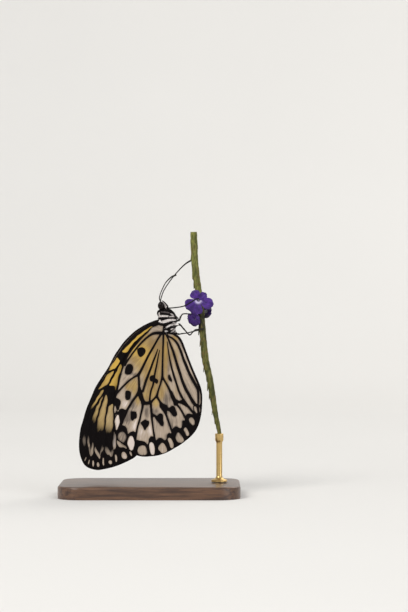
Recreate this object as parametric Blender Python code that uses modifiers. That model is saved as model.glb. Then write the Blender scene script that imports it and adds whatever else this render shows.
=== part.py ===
"""A tree nymph butterfly at rest, wings closed, clinging to a length of flower spike on a small stand.

Run it with blender --background --python part.py, or from Blender's text editor.

Sizes and places are in millimetres, and MM turns them into Blender's metres. X runs from the wing tips
(minus) to the flower spike (plus), Y from the butterfly's right side (minus) to its left side (plus), and
Z up. The origin is the centre of the stand's underside. The butterfly's own middle plane is Y = 0: its head
is up, its back faces minus X and its legs reach towards plus X.
"""

import math

import bmesh
import bpy
from mathutils import Matrix, Vector, geometry

MM = 0.001

# The gap that keeps two neighbouring pieces apart.
GAP = 0.3

# The two sides of the animal: its right side lies towards minus Y.
SIDES = {"right": -1, "left": 1}

# Body, as stations (x, z, half depth along the middle plane, half width across it).
THORAX = [
    (5.0, 74.3, 0.8, 0.8),
    (5.2, 73.5, 2.1, 1.6),
    (5.7, 72.2, 2.8, 2.3),
    (6.2, 70.5, 3.3, 2.7),
    (6.6, 68.5, 3.6, 2.8),
    (6.9, 66.5, 3.4, 2.6),
    (7.1, 64.8, 2.8, 2.2),
    (7.3, 63.6, 2.0, 1.7),
    (7.4, 63.0, 1.1, 1.1),
]
THORAX_SIDES = 18
# The breast is the narrow front of the thorax between the legs.
BREAST_CENTRE = (8.4, 0.0, 70.6)
BREAST_RADII = (2.8, 1.2, 2.0)
HEAD_CENTRE = (4.9, 0.0, 75.5)
HEAD_RADII = (1.5, 1.0, 1.7)
EYE_CENTRE = (4.4, 1.4, 75.7)
EYE_RADII = (1.25, 0.9, 1.65)

# Abdomen: from its waist to its tip, with its widest half width, its depth as a share of its width, its rings
# and how far its middle bows out.
WAIST = (7.3, 64.2)
ABDOMEN_TIP = (14.3, 39.6)
ABDOMEN_HALF_WIDTH = 2.15
ABDOMEN_DEPTH = 1.05
ABDOMEN_RINGS = 8
ABDOMEN_BOW = 1.0
RING_SWELL = 0.05
STATIONS_PER_RING = 3
ABDOMEN_SIDES = 12
# Its outline is a part of a sine wave, from one phase to another in half turns, blunted by a power below 1.
ABDOMEN_PHASES = (0.16, 0.96)
ABDOMEN_BLUNT = 0.6

# Wing hinges as (x, half width, z), with the round bosses on the thorax that carry them.
FORE_HINGE = (3.9, 1.75, 69.0)
HIND_HINGE = (5.7, 2.7, 65.4)
FORE_BOSS_RADIUS = 1.05
HIND_BOSS_RADIUS = 1.25
HIND_BOSS_INSET = 0.35
BOSS_FACES = (12, 8)

# Wings: the membrane's thickness, that of a vein, and a vein ridge's half width.
MEMBRANE = 0.5
VEIN = 0.8
RIDGE_HALF_WIDTH = 0.5
OUTLINE_STEP = 2.6
VEIN_STEP = 3.6
INNER_STEP = 4.2
INNER_CLEARANCE = 1.4
POINT_MERGE = 0.12
FEET_FROM_HINGE = 6.0

# How far the closed wings stand from the middle plane: at rest, at the hinge, and further at the tips.
WING_STAND = 0.85
HINGE_STAND = 0.9
HINGE_REACH = 8.0
TIP_SPREAD = 1.1
TIP_REACH = 60.0
WING_LAYER = 1.15
# The hindwings bulge round the abdomen, along a line through its middle and between two pairs of heights.
ABDOMEN_ROOM = 0.95
ABDOMEN_ROOM_REACH = 4.6
ABDOMEN_MIDDLE = (11.8, 51.9)
BULGE_TOP = (66.5, 58.0)
BULGE_BOTTOM = (34.0, 43.0)

# Forewing in its own plane, as (x, z): round the costa, the tip, the outer margin and the hidden inner margin.
FOREWING = [
    (4.7, 69.9), (2.6, 70.0), (-1.2, 68.5), (-4.2, 66.8), (-7.3, 64.5), (-10.4, 61.3), (-14.2, 56.1),
    (-18.0, 49.4), (-21.7, 43.2), (-24.1, 38.0), (-26.2, 32.1), (-27.7, 26.5), (-28.3, 21.7), (-28.2, 17.9),
    (-27.5, 15.0), (-26.2, 12.5), (-23.6, 10.7), (-20.8, 10.0), (-17.0, 10.7), (-13.7, 11.4), (-10.9, 12.7),
    (-8.2, 13.8), (-5.6, 15.6), (-3.2, 19.0), (-1.9, 24.0), (-0.8, 32.0), (0.4, 42.0), (1.5, 53.2),
    (2.2, 61.0), (2.7, 66.2), (4.2, 67.9),
]
FORE_COSTA = 12
FORE_VEINS = {
    "subcosta": [(3.7, 69.1), (-4.0, 65.6), (-9.8, 60.4), (-15.4, 52.6), (-20.6, 44.0)],
    "radius": [
        (3.7, 69.1), (-0.2, 66.6), (-6.2, 62.6), (-11.2, 56.6), (-14.4, 50.4), (-17.2, 44.4), (-19.6, 38.8),
    ],
    "radius_1": [(-14.4, 50.4), (-17.6, 48.0), (-20.4, 44.9)],
    "radius_2": [(-17.2, 44.4), (-20.0, 41.6), (-23.1, 37.6)],
    "radius_3": [(-19.6, 38.8), (-21.8, 35.6), (-24.2, 30.4), (-26.8, 21.6)],
    "radius_4": [(-19.0, 39.9), (-20.3, 34.6), (-22.0, 27.0), (-24.3, 13.2)],
    "media_1": [(-16.6, 39.6), (-17.2, 34.0), (-18.4, 26.0), (-19.2, 11.4)],
    "media_2": [(-14.6, 39.4), (-14.4, 32.6), (-14.4, 24.0), (-14.0, 12.6)],
    "media_3": [(-10.4, 42.0), (-10.8, 34.0), (-10.2, 24.0), (-9.6, 14.6)],
    "cubitus_1": [(-7.6, 47.0), (-7.2, 36.0), (-6.4, 26.0), (-5.4, 17.2)],
    "cubitus_2": [(-3.6, 56.0), (-3.8, 42.0), (-3.6, 30.0), (-3.2, 21.4)],
    "cubitus": [
        (3.7, 68.9), (-0.2, 62.4), (-3.6, 56.0), (-7.6, 47.0), (-10.4, 42.0), (-14.6, 39.4), (-16.6, 39.6),
    ],
    "cell_end": [(-16.6, 39.6), (-17.6, 41.6), (-18.2, 42.4)],
    "anal": [(3.5, 68.5), (1.2, 60.0), (0.0, 48.0), (-1.2, 36.0), (-2.2, 26.0)],
}

# Hindwing in its own plane: round the shoulder, the front margin, the outer margin and the inner margin.
HINDWING = [
    (6.0, 67.4), (3.4, 68.2), (0.6, 67.1), (-2.7, 64.1), (-5.8, 60.6), (-8.6, 56.8), (-10.5, 53.0),
    (-12.0, 48.6), (-13.2, 43.6), (-14.3, 38.0), (-14.7, 33.0), (-14.4, 28.0), (-13.4, 23.6), (-11.4, 21.0),
    (-8.4, 18.6), (-5.4, 16.0), (-2.4, 15.4), (1.2, 15.8), (5.1, 16.5), (8.8, 18.2), (12.8, 20.9),
    (16.6, 23.9), (19.2, 27.8), (20.6, 32.4), (21.0, 38.0), (20.5, 42.6), (18.4, 48.0), (16.1, 53.6),
    (14.0, 59.2), (12.0, 63.4), (9.4, 65.2), (7.0, 65.0),
]
HIND_COSTA = 9
HIND_VEINS = {
    "subcosta": [(5.6, 65.4), (1.1, 64.7), (-3.4, 60.7), (-8.0, 55.2), (-9.9, 51.4)],
    "cell_front": [(5.6, 65.4), (2.4, 60.4), (-1.9, 52.6), (-4.7, 48.4)],
    "radial_sector": [(-4.7, 48.4), (-6.4, 47.2), (-10.0, 44.2), (-12.5, 41.5)],
    "cell_corner": [(-4.7, 48.4), (-4.4, 45.0), (-4.4, 41.4), (-2.6, 36.9)],
    "media_1": [(-4.4, 41.4), (-8.4, 35.3), (-11.6, 28.8), (-12.8, 25.2)],
    "media_2": [(-2.6, 36.9), (-4.2, 30.0), (-5.4, 24.7), (-5.8, 17.2)],
    "cell_end": [(-2.6, 36.9), (0.3, 37.2), (2.8, 39.6)],
    "media_3": [(0.3, 37.2), (0.9, 30.0), (2.2, 22.2), (3.0, 17.0)],
    "cubitus": [(5.6, 65.4), (5.3, 57.0), (5.1, 47.4), (2.8, 39.6)],
    "cubitus_1": [(2.8, 39.6), (4.2, 36.9), (6.3, 32.6), (8.9, 25.7), (10.8, 20.4)],
    "cubitus_2": [(5.1, 47.4), (7.6, 42.7), (9.6, 38.0), (13.8, 31.4), (16.4, 25.2)],
    "anal_1": [(5.6, 65.4), (6.9, 60.4), (8.6, 50.8), (10.7, 43.1), (15.7, 34.9), (18.6, 29.4)],
    "anal_2": [(5.6, 65.4), (9.0, 58.2), (11.6, 49.8), (14.2, 42.6), (19.4, 34.0)],
    "anal_3": [(5.6, 65.4), (10.3, 61.7), (13.2, 56.1), (16.2, 48.1), (18.9, 43.0), (19.6, 37.4)],
}

# Legs, one row per joint: (x, half width, z, radius). The first lies inside the thorax.
FORELEG = [(6.4, 1.0, 72.2, 0.5), (8.4, 1.7, 72.4, 0.5), (10.2, 1.75, 71.4, 0.4), (11.3, 1.6, 70.6, 0.25)]
MIDLEG_RIGHT = [
    (7.0, 1.4, 69.4, 0.7), (9.4, 2.1, 69.5, 0.62), (11.6, 2.6, 70.0, 0.42), (12.2, 3.0, 71.2, 0.3),
    (13.0, 3.6, 72.3, 0.27), (14.0, 3.9, 72.5, 0.25), (15.2, 3.1, 72.4, 0.24), (16.4, 2.0, 72.0, 0.22),
]
MIDLEG_LEFT = [
    (7.0, 1.4, 69.4, 0.7), (9.4, 2.1, 69.5, 0.62), (11.6, 2.6, 70.0, 0.42), (12.2, 3.0, 71.2, 0.3),
    (13.0, 3.6, 72.3, 0.27), (14.4, 3.7, 72.5, 0.26), (16.2, 3.2, 72.4, 0.25), (18.2, 2.5, 72.9, 0.24),
    (19.6, 1.85, 73.6, 0.22),
]
HINDLEG_RIGHT = [
    (7.0, 1.2, 66.9, 0.7), (9.6, 2.2, 67.4, 0.6), (11.8, 3.0, 68.2, 0.42), (13.6, 2.9, 66.4, 0.3),
    (15.8, 2.6, 64.1, 0.28), (17.0, 2.5, 65.1, 0.26), (18.2, 2.4, 66.2, 0.25), (20.2, 2.1, 66.4, 0.24),
    (21.6, 2.0, 66.6, 0.2),
]
HINDLEG_LEFT = [
    (7.0, 1.2, 66.7, 0.7), (9.3, 2.8, 66.4, 0.58), (10.1, 3.9, 65.0, 0.42), (11.4, 3.8, 64.3, 0.32),
    (12.8, 3.1, 64.5, 0.28), (15.0, 2.4, 64.8, 0.27), (17.6, 2.2, 65.5, 0.25), (20.0, 2.2, 65.9, 0.22),
]
LEG_STEP = 1.6

# Feelers, tongue and palps, in the same way. The right feeler points out towards the viewer's side.
ANTENNA_RIGHT = [
    (4.4, 0.38, 76.4, 0.25), (4.1, 0.38, 77.5, 0.25), (3.8, 1.1, 78.9, 0.25), (4.6, 3.6, 81.4, 0.25),
    (6.4, 7.6, 84.8, 0.26), (8.6, 12.6, 86.9, 0.33), (10.3, 16.6, 87.6, 0.36), (10.9, 17.7, 87.7, 0.2),
]
ANTENNA_LEFT = [
    (4.4, 0.38, 76.4, 0.25), (4.2, 0.38, 77.5, 0.25), (4.5, 0.9, 79.0, 0.25), (5.6, 2.0, 82.0, 0.25),
    (8.0, 3.2, 85.7, 0.25), (10.8, 4.4, 89.2, 0.26), (13.8, 5.6, 92.3, 0.35), (16.2, 6.4, 93.9, 0.38),
    (16.9, 6.6, 94.2, 0.2),
]
ANTENNA_STEP = 2.4
PROBOSCIS = [
    (6.0, 0.0, 75.1, 0.34), (7.8, 0.0, 74.8, 0.3), (10.4, -1.2, 75.0, 0.26), (13.0, -3.3, 75.4, 0.25),
    (14.8, -4.7, 76.1, 0.25), (16.6, -5.1, 77.2, 0.25), (18.3, -4.9, 78.3, 0.25), (19.4, -4.2, 78.6, 0.25),
    (19.5, -3.5, 78.3, 0.22),
]
PALP = [
    (6.2, 0.66, 74.78, 0.42), (6.75, 0.68, 75.5, 0.52), (6.4, 0.66, 76.5, 0.48), (5.7, 0.62, 77.3, 0.34),
    (5.0, 0.6, 77.8, 0.2),
]
PALP_STEP = 1.2

# Flower spike: its middle line as (x, z, radius), and the pointed bracts along it.
SPIKE = [
    (17.5, 105.2, 1.35), (17.6, 101.0, 1.4), (17.8, 95.2, 1.4), (18.4, 88.4, 1.5), (19.4, 81.2, 1.4),
    (20.4, 73.2, 1.38), (21.2, 63.2, 1.36), (22.2, 54.4, 1.4), (24.0, 45.6, 1.35), (25.5, 36.8, 1.22),
    (26.5, 30.8, 1.02), (27.7, 25.2, 0.85),
]
SPIKE_STEP = 4.4
SPIKE_LINE_STEP = 0.5
BRACTS = 13
BRACT_LENGTH = 3.4
BRACT_RADIUS = 0.62
BRACT_POINT = 0.12
BRACT_SINK = 0.35
BRACTS_FROM_ENDS = (6.0, 5.0)
BRACT_LEAN = math.radians(13)
BRACT_TURN = math.radians(137.5)
FLOWER_ZONE = (66.0, 83.0)

# Flowers: throat centre, the way they face, and each lobe's direction in degrees with its length.
FLOWERS = {
    "flower_front": {
        "throat": (19.3, -3.3, 77.9),
        "facing": (-0.1, -1.0, -0.08),
        "lobes": [(119, 4.6), (40, 4.5), (-18, 6.7), (208, 6.2), (250, 6.2)],
    },
    "flower_low": {
        "throat": (17.9, -1.3, 70.4),
        "facing": (-0.55, -0.8, -0.25),
        "lobes": [(105, 2.9), (24, 2.5), (-50, 2.9), (172, 3.9), (232, 3.7)],
    },
    "flower_back": {
        "throat": (22.9, 2.1, 73.4),
        "facing": (0.72, 0.62, -0.2),
        "lobes": [(90, 3.0), (18, 3.0), (-54, 3.1), (162, 3.0), (234, 3.1)],
    },
}
PETAL = 0.5
LOBE_SPREAD = 0.52
LOBE_NOTCH = 0.5
LOBE_SECTORS = 30
THROAT_RADIUS = 0.75
THROAT_WAIST = 0.85
THROAT_STEP = 3.0
# The funnel in the flower's middle, as shares of its longest lobe, and where the rings of its sheet lie.
FUNNEL_DEPTH = 0.14
FUNNEL_RADIUS = 0.34
PETAL_RINGS = (0.34, 0.67, 1.0)

# Stand.
BASE_LENGTH = 72.0
BASE_WIDTH = 44.0
BASE_HEIGHT = 5.0
BASE_CORNER = 9.0
BASE_EDGE = 0.8
ROD_RADIUS = 1.2
ROD_FOOT_RADIUS = 3.2
ROD_FOOT_HEIGHT = 1.0
ROD_FOOT_SLOPE = 0.6
ROD_CUP_RADIUS = 1.7
ROD_CUP_HEIGHT = 3.0
ROD_CUP_SLOPE = 1.0
ROD_STEPS = 20
SMOOTH_ANGLE = math.radians(40)

COLOURS = {
    "wing": ((0.55, 0.47, 0.33, 1), 0.75, 0.0),
    "body": ((0.12, 0.11, 0.11, 1), 0.7, 0.0),
    "abdomen": ((0.6, 0.56, 0.55, 1), 0.75, 0.0),
    "eye": ((0.02, 0.015, 0.015, 1), 0.2, 0.0),
    "limb": ((0.04, 0.035, 0.035, 1), 0.5, 0.0),
    "stem": ((0.2, 0.27, 0.08, 1), 0.65, 0.0),
    "petal": ((0.1, 0.03, 0.32, 1), 0.6, 0.0),
    "wood": ((0.16, 0.08, 0.04, 1), 0.45, 0.0),
    "brass": ((0.75, 0.55, 0.25, 1), 0.3, 1.0),
}


def clear_scene():
    for obj in list(bpy.data.objects):
        bpy.data.objects.remove(obj, do_unlink=True)


def new_collection(name, shown=True):
    collection = bpy.data.collections.new(name)
    bpy.context.scene.collection.children.link(collection)
    collection.hide_render = not shown
    return collection


def make_material(name):
    colour, roughness, metallic = COLOURS[name]
    material = bpy.data.materials.new(name)
    material.use_nodes = True
    shader = material.node_tree.nodes["Principled BSDF"]
    shader.inputs["Base Color"].default_value = colour
    shader.inputs["Roughness"].default_value = roughness
    shader.inputs["Metallic"].default_value = metallic
    material.diffuse_color = colour
    return material


def add_object(name, data, material=None):
    obj = bpy.data.objects.new(name, data)
    parts.objects.link(obj)
    if material:
        data.materials.clear()
        data.materials.append(materials[material])
    return obj


def evaluated_mesh(obj):
    """The object's mesh with its modifiers applied, welded where a curve's caps meet its sides."""
    bpy.context.view_layer.update()
    graph = bpy.context.evaluated_depsgraph_get()
    mesh = bpy.data.meshes.new_from_object(obj.evaluated_get(graph))
    mesh.transform(obj.matrix_world)
    cage = bmesh.new()
    cage.from_mesh(mesh)
    bmesh.ops.remove_doubles(cage, verts=cage.verts, dist=0.000001)
    cage.to_mesh(mesh)
    cage.free()
    return mesh


def remove(obj):
    data = obj.data
    kind = obj.type
    bpy.data.objects.remove(obj)
    if kind == "MESH" and data.users == 0:
        bpy.data.meshes.remove(data)


def settle(obj, material):
    """Applies the object's modifiers, keeps its largest closed surface and shades it."""
    mesh = evaluated_mesh(obj)
    name = obj.name
    remove(obj)
    cage = bmesh.new()
    cage.from_mesh(mesh)
    bmesh.ops.triangulate(cage, faces=cage.faces)
    keep_largest(cage)
    cage.to_mesh(mesh)
    cage.free()
    mesh.shade_smooth()
    mesh.set_sharp_from_angle(angle=SMOOTH_ANGLE)
    return add_object(name, mesh, material)


def keep_largest(cage):
    """Deletes every separate surface in the cage but the one with the most volume."""
    unseen = set(cage.faces)
    surfaces = []
    while unseen:
        found = {unseen.pop()}
        front = list(found)
        while front:
            for edge in front.pop().edges:
                for face in edge.link_faces:
                    if face in unseen:
                        unseen.discard(face)
                        found.add(face)
                        front.append(face)
        surfaces.append(found)

    def volume(faces):
        corners = [[v.co for v in face.verts] for face in faces]
        return abs(sum(a.dot(b.cross(c)) for a, b, c in corners))

    surfaces.sort(key=volume)
    spare = [face for surface in surfaces[:-1] for face in surface]
    bmesh.ops.delete(cage, geom=spare, context="FACES")


def unite(name, pieces):
    """One closed object from several overlapping ones."""
    first, rest = pieces[0], pieces[1:]
    if rest:
        group = bpy.data.collections.new(name + "_pieces")
        for piece in rest:
            group.objects.link(piece)
        fuse = first.modifiers.new("fuse", "BOOLEAN")
        fuse.operation = "UNION"
        fuse.operand_type = "COLLECTION"
        fuse.collection = group
        mesh = evaluated_mesh(first)
        for piece in pieces:
            remove(piece)
        bpy.data.collections.remove(group)
    else:
        mesh = evaluated_mesh(first)
        remove(first)
    return add_object(name, mesh)


def cut(obj, *tools):
    """Takes each tool's shape out of the object, and leaves the tools as they are."""
    for tool in tools:
        difference = obj.modifiers.new("cut", "BOOLEAN")
        difference.operation = "DIFFERENCE"
        difference.object = tool
    return obj


def as_cutter(obj):
    """Moves the object to the cutters, which are no part of the model."""
    parts.objects.unlink(obj)
    cutters.objects.link(obj)
    obj.hide_render = True
    obj.display_type = "WIRE"
    return obj


def curve_through(points, step, closed=False):
    """Points about a step apart on a smooth curve through rows of numbers, which each start with a place."""
    rows = [Vector(p) for p in points]
    last = len(rows) if closed else len(rows) - 1
    smooth = []
    for i in range(last):
        b, c = rows[i], rows[(i + 1) % len(rows)]
        a = rows[i - 1] if closed or i else b + (b - c)
        d = rows[(i + 2) % len(rows)] if closed or i + 2 < len(rows) else c + (c - b)
        pieces = max(1, round((c - b).length / step))
        for k in range(pieces):
            t = k / pieces
            bend = (a - 3 * b + 3 * c - d) * -1
            smooth.append(b + ((c - a) * t + (2 * a - 5 * b + 4 * c - d) * t * t + bend * t**3) / 2)
    if not closed:
        smooth.append(rows[-1])
    return smooth


def tube(name, rows, step, side=1, sides=6):
    """A closed round limb through (x, y, z, radius) rows, mirrored to one side of the middle plane."""
    curve = bpy.data.curves.new(name, "CURVE")
    curve.dimensions = "3D"
    curve.fill_mode = "FULL"
    curve.bevel_depth = MM
    curve.bevel_resolution = (sides - 4) // 2
    curve.use_fill_caps = True
    points = curve_through(rows, step)
    spline = curve.splines.new("POLY")
    spline.points.add(len(points) - 1)
    for point, (x, y, z, radius) in zip(spline.points, points):
        point.co = (x * MM, side * y * MM, z * MM, 1)
        point.radius = radius
    line = bpy.data.objects.new(name + "_line", curve)
    parts.objects.link(line)
    mesh = evaluated_mesh(line)
    bpy.data.objects.remove(line)
    bpy.data.curves.remove(curve)
    return add_object(name, face_out(mesh))


def face_out(mesh):
    cage = bmesh.new()
    cage.from_mesh(mesh)
    bmesh.ops.recalc_face_normals(cage, faces=cage.faces)
    cage.to_mesh(mesh)
    cage.free()
    return mesh


def loft(name, stations, sides, grow=0.0):
    """A closed body through elliptic sections, each square to the line of their centres in the middle plane."""
    cage = bmesh.new()
    rings = []
    for i, (x, z, depth, width) in enumerate(stations):
        before, after = stations[max(i - 1, 0)], stations[min(i + 1, len(stations) - 1)]
        along = Vector((after[0] - before[0], 0, after[1] - before[1])).normalized()
        across = Vector((-along.z, 0, along.x))
        centre = Vector((x, 0, z))
        if i in (0, len(stations) - 1):
            centre += along * (grow if i else -grow)
        ring = []
        for k in range(sides):
            angle = 2 * math.pi * k / sides
            offset = across * (depth + grow) * math.cos(angle)
            offset.y += (width + grow) * math.sin(angle)
            ring.append(cage.verts.new((centre + offset) * MM))
        rings.append(ring)
    for low, high in zip(rings, rings[1:]):
        for k in range(sides):
            cage.faces.new((low[k], low[(k + 1) % sides], high[(k + 1) % sides], high[k]))
    cage.faces.new(rings[0])
    cage.faces.new(rings[-1])
    bmesh.ops.recalc_face_normals(cage, faces=cage.faces)
    mesh = bpy.data.meshes.new(name)
    cage.to_mesh(mesh)
    cage.free()
    return add_object(name, mesh)


def egg(name, centre, radii, grow=0.0, segments=16, rings=10):
    """A closed ellipsoid."""
    cage = bmesh.new()
    bmesh.ops.create_uvsphere(cage, u_segments=segments, v_segments=rings, radius=1)
    size = Matrix.Diagonal(((radii[0] + grow) * MM, (radii[1] + grow) * MM, (radii[2] + grow) * MM, 1))
    bmesh.ops.transform(cage, matrix=Matrix.Translation(Vector(centre) * MM) @ size, verts=cage.verts)
    mesh = bpy.data.meshes.new(name)
    cage.to_mesh(mesh)
    cage.free()
    return add_object(name, mesh)


def make_thorax(name, grow=0.0):
    """The thorax with its breast and the four bosses that carry the wings."""
    trunk = loft(name + "_trunk", THORAX, THORAX_SIDES, grow)
    pieces = [trunk, egg(name + "_breast", BREAST_CENTRE, BREAST_RADII, grow)]
    for side in SIDES.values():
        x, y, z = FORE_HINGE
        pieces.append(egg(f"{name}_fore_{side}", (x, side * y, z), [FORE_BOSS_RADIUS] * 3, grow, *BOSS_FACES))
        x, y, z = HIND_HINGE
        y -= HIND_BOSS_INSET
        pieces.append(egg(f"{name}_hind_{side}", (x, side * y, z), [HIND_BOSS_RADIUS] * 3, grow, *BOSS_FACES))
    return unite(name, pieces)


def make_abdomen(room):
    """The long ringed abdomen, which bows a little towards the legs' side."""
    stations = []
    count = ABDOMEN_RINGS * STATIONS_PER_RING
    low, high = ABDOMEN_PHASES
    for i in range(count + 1):
        t = i / count
        x = WAIST[0] + (ABDOMEN_TIP[0] - WAIST[0]) * t + ABDOMEN_BOW * math.sin(math.pi * t)
        z = WAIST[1] + (ABDOMEN_TIP[1] - WAIST[1]) * t
        body = math.sin(math.pi * (low + (high - low) * t)) ** ABDOMEN_BLUNT
        ring = 1 - RING_SWELL * math.cos(2 * math.pi * t * ABDOMEN_RINGS)
        half = ABDOMEN_HALF_WIDTH * body * ring
        stations.append((x, z, half * ABDOMEN_DEPTH, half))
    return cut(loft("abdomen", stations, ABDOMEN_SIDES), room)


def distance_to_line(point, line):
    nearest = 1e9
    for a, b in zip(line, line[1:]):
        along = b - a
        t = max(0.0, min(1.0, (point - a).dot(along) / along.length_squared))
        nearest = min(nearest, (point - (a + along * t)).length)
    return nearest


def wing_stand(x, z):
    """How far the forewing's middle surface stands from the middle plane at a place in the wing's plane."""
    reach = math.hypot(x - FORE_HINGE[0], z - FORE_HINGE[2])
    near = HINGE_STAND * math.exp(-((reach / HINGE_REACH) ** 2))
    return WING_STAND + near + TIP_SPREAD * (reach / TIP_REACH) ** 2


def smooth_step(low, high, value):
    t = max(0.0, min(1.0, (value - low) / (high - low)))
    return t * t * (3 - 2 * t)


def hindwing_stand(x, z):
    """The same for the hindwing, which lies outside the forewing and rounds the abdomen."""
    off_axis = distance_to_line(Vector((x, z)), [Vector(WAIST), Vector(ABDOMEN_MIDDLE), Vector(ABDOMEN_TIP)])
    along = smooth_step(*BULGE_TOP, z) * smooth_step(*BULGE_BOTTOM, z)
    room = ABDOMEN_ROOM * along * math.exp(-((off_axis / ABDOMEN_ROOM_REACH) ** 2))
    return wing_stand(x, z) + WING_LAYER + room


def ridge_feet(line, hinge):
    """The lines at the two feet of a vein's ridge, left out near the hinge, where the veins run together."""
    feet = []
    for turn in (-1, 1):
        foot = []
        for i, point in enumerate(line):
            along = (line[min(i + 1, len(line) - 1)] - line[max(i - 1, 0)]).normalized()
            if (point - hinge).length > FEET_FROM_HINGE:
                foot.append(point + Vector((-along.y, along.x)) * turn * RIDGE_HALF_WIDTH)
        feet.append(foot)
    return feet


def make_wing(name, outline, costa, veins, hinge, stand, side):
    """A thin membrane whose veins are ridges raised in its own two faces.

    It is laid out flat as triangles between the outline, the veins and the feet of their ridges. The costa,
    its stiff front edge, is the first stretch of the outline, and is as thick as a vein.
    """
    hinge = Vector((hinge[0], hinge[2]))
    rim = curve_through(outline, OUTLINE_STEP, closed=True)
    crests = [curve_through(line, VEIN_STEP) for line in veins.values()]
    edge_lines = [(rim, True)] + [(line, False) for line in crests]
    for line in crests:
        edge_lines += [(foot, False) for foot in ridge_feet(line, hinge) if len(foot) > 1]
    points, edges = [], []
    for line, closed in edge_lines:
        start = len(points)
        points += line
        edges += [(start + i, start + i + 1) for i in range(len(line) - 1)]
        if closed:
            edges.append((len(points) - 1, start))
    points += inner_points(rim, crests)
    flat, _, triangles, _, _, _ = geometry.delaunay_2d_cdt(points, edges, [], 1, POINT_MERGE)

    front_edge = curve_through(outline[:costa], OUTLINE_STEP)
    cage = bmesh.new()
    cage_points = [cage.verts.new((p.x * MM, side * stand(p.x, p.y) * MM, p.y * MM)) for p in flat]
    for triangle in triangles:
        cage.faces.new([cage_points[i] for i in triangle])
    bmesh.ops.recalc_face_normals(cage, faces=cage.faces)
    mesh = bpy.data.meshes.new(name)
    cage.to_mesh(mesh)
    cage.free()
    wing = add_object(name, mesh)

    thickness = wing.vertex_groups.new(name="thickness")
    for i, point in enumerate(flat):
        away = min(distance_to_line(point, line) for line in crests + [front_edge])
        ridge = max(0.0, 1 - away / RIDGE_HALF_WIDTH)
        thickness.add([i], (MEMBRANE + (VEIN - MEMBRANE) * ridge) / VEIN, "REPLACE")
    shell = wing.modifiers.new("thickness", "SOLIDIFY")
    shell.thickness = VEIN * MM
    shell.offset = 0
    shell.vertex_group = thickness.name
    return wing


def inner_points(rim, crests):
    """Evenly spread points in the open membrane, which let it bend."""
    found = []
    low_x, high_x = min(p.x for p in rim), max(p.x for p in rim)
    low_z, high_z = min(p.y for p in rim), max(p.y for p in rim)
    for row in range(int((high_z - low_z) / INNER_STEP) + 1):
        for column in range(int((high_x - low_x) / INNER_STEP) + 1):
            shift = 0.5 * (row % 2)
            point = Vector((low_x + (column + shift) * INNER_STEP, low_z + row * INNER_STEP))
            away = min(distance_to_line(point, line) for line in crests + [rim + rim[:1]])
            if away > INNER_CLEARANCE:
                found.append(point)
    return found


def make_corolla(name, throat, facing, lobes):
    """Five rounded lobes round a sunken throat, as a thin sheet."""
    out = Vector(facing).normalized()
    right = Vector((0, 0, 1)).cross(out).normalized()
    up = Vector((0, 0, 1)) - out * out.z
    up.normalize()
    longest = max(length for _, length in lobes)

    def reach(angle):
        best = LOBE_NOTCH * longest
        for direction, length in lobes:
            turn = math.radians(direction) - angle
            turn = abs(math.atan2(math.sin(turn), math.cos(turn)))
            best = max(best, length * math.exp(-((turn / LOBE_SPREAD) ** 4)))
        return best

    cage = bmesh.new()
    bottom = Vector(throat) - out * FUNNEL_DEPTH * longest
    middle = cage.verts.new(bottom * MM)
    rings = []
    for share in PETAL_RINGS:
        ring = []
        for k in range(LOBE_SECTORS):
            angle = 2 * math.pi * k / LOBE_SECTORS
            radius = reach(angle) * share
            sunk = FUNNEL_DEPTH * longest * math.exp(-((radius / (FUNNEL_RADIUS * longest)) ** 2))
            spread = (right * math.cos(angle) + up * math.sin(angle)) * radius
            ring.append(cage.verts.new((Vector(throat) + spread - out * sunk) * MM))
        rings.append(ring)
    for k in range(LOBE_SECTORS):
        after = (k + 1) % LOBE_SECTORS
        cage.faces.new((middle, rings[0][k], rings[0][after]))
        for low, high in zip(rings, rings[1:]):
            cage.faces.new((low[k], high[k], high[after]))
            cage.faces.new((low[k], high[after], low[after]))
    bmesh.ops.recalc_face_normals(cage, faces=cage.faces)
    mesh = bpy.data.meshes.new(name)
    cage.to_mesh(mesh)
    cage.free()
    corolla = add_object(name, mesh)
    sheet = corolla.modifiers.new("thickness", "SOLIDIFY")
    sheet.thickness = PETAL * MM
    sheet.offset = 0
    return corolla, bottom


def make_flower(name, spec, spike_room):
    """A corolla on its short tube, which ends at the spike."""
    corolla, bottom = make_corolla(name + "_corolla", spec["throat"], spec["facing"], spec["lobes"])
    spike_line = [Vector((x, 0, z)) for x, z, _ in curve_through(SPIKE, SPIKE_LINE_STEP)]
    axis = min(spike_line, key=lambda p: (p - bottom).length)
    waist = (*bottom.lerp(axis, 0.5), THROAT_RADIUS * THROAT_WAIST)
    rows = [(*bottom, THROAT_RADIUS), waist, (*axis, THROAT_RADIUS)]
    throat_tube = tube(name + "_tube", rows, THROAT_STEP, sides=8)
    return cut(unite(name, [corolla, throat_tube]), spike_room)


def spike_tube(name, grow=0.0):
    rows = [(x, 0.0, z, radius + grow) for x, z, radius in SPIKE]
    return tube(name, rows, SPIKE_STEP, sides=10)


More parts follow.
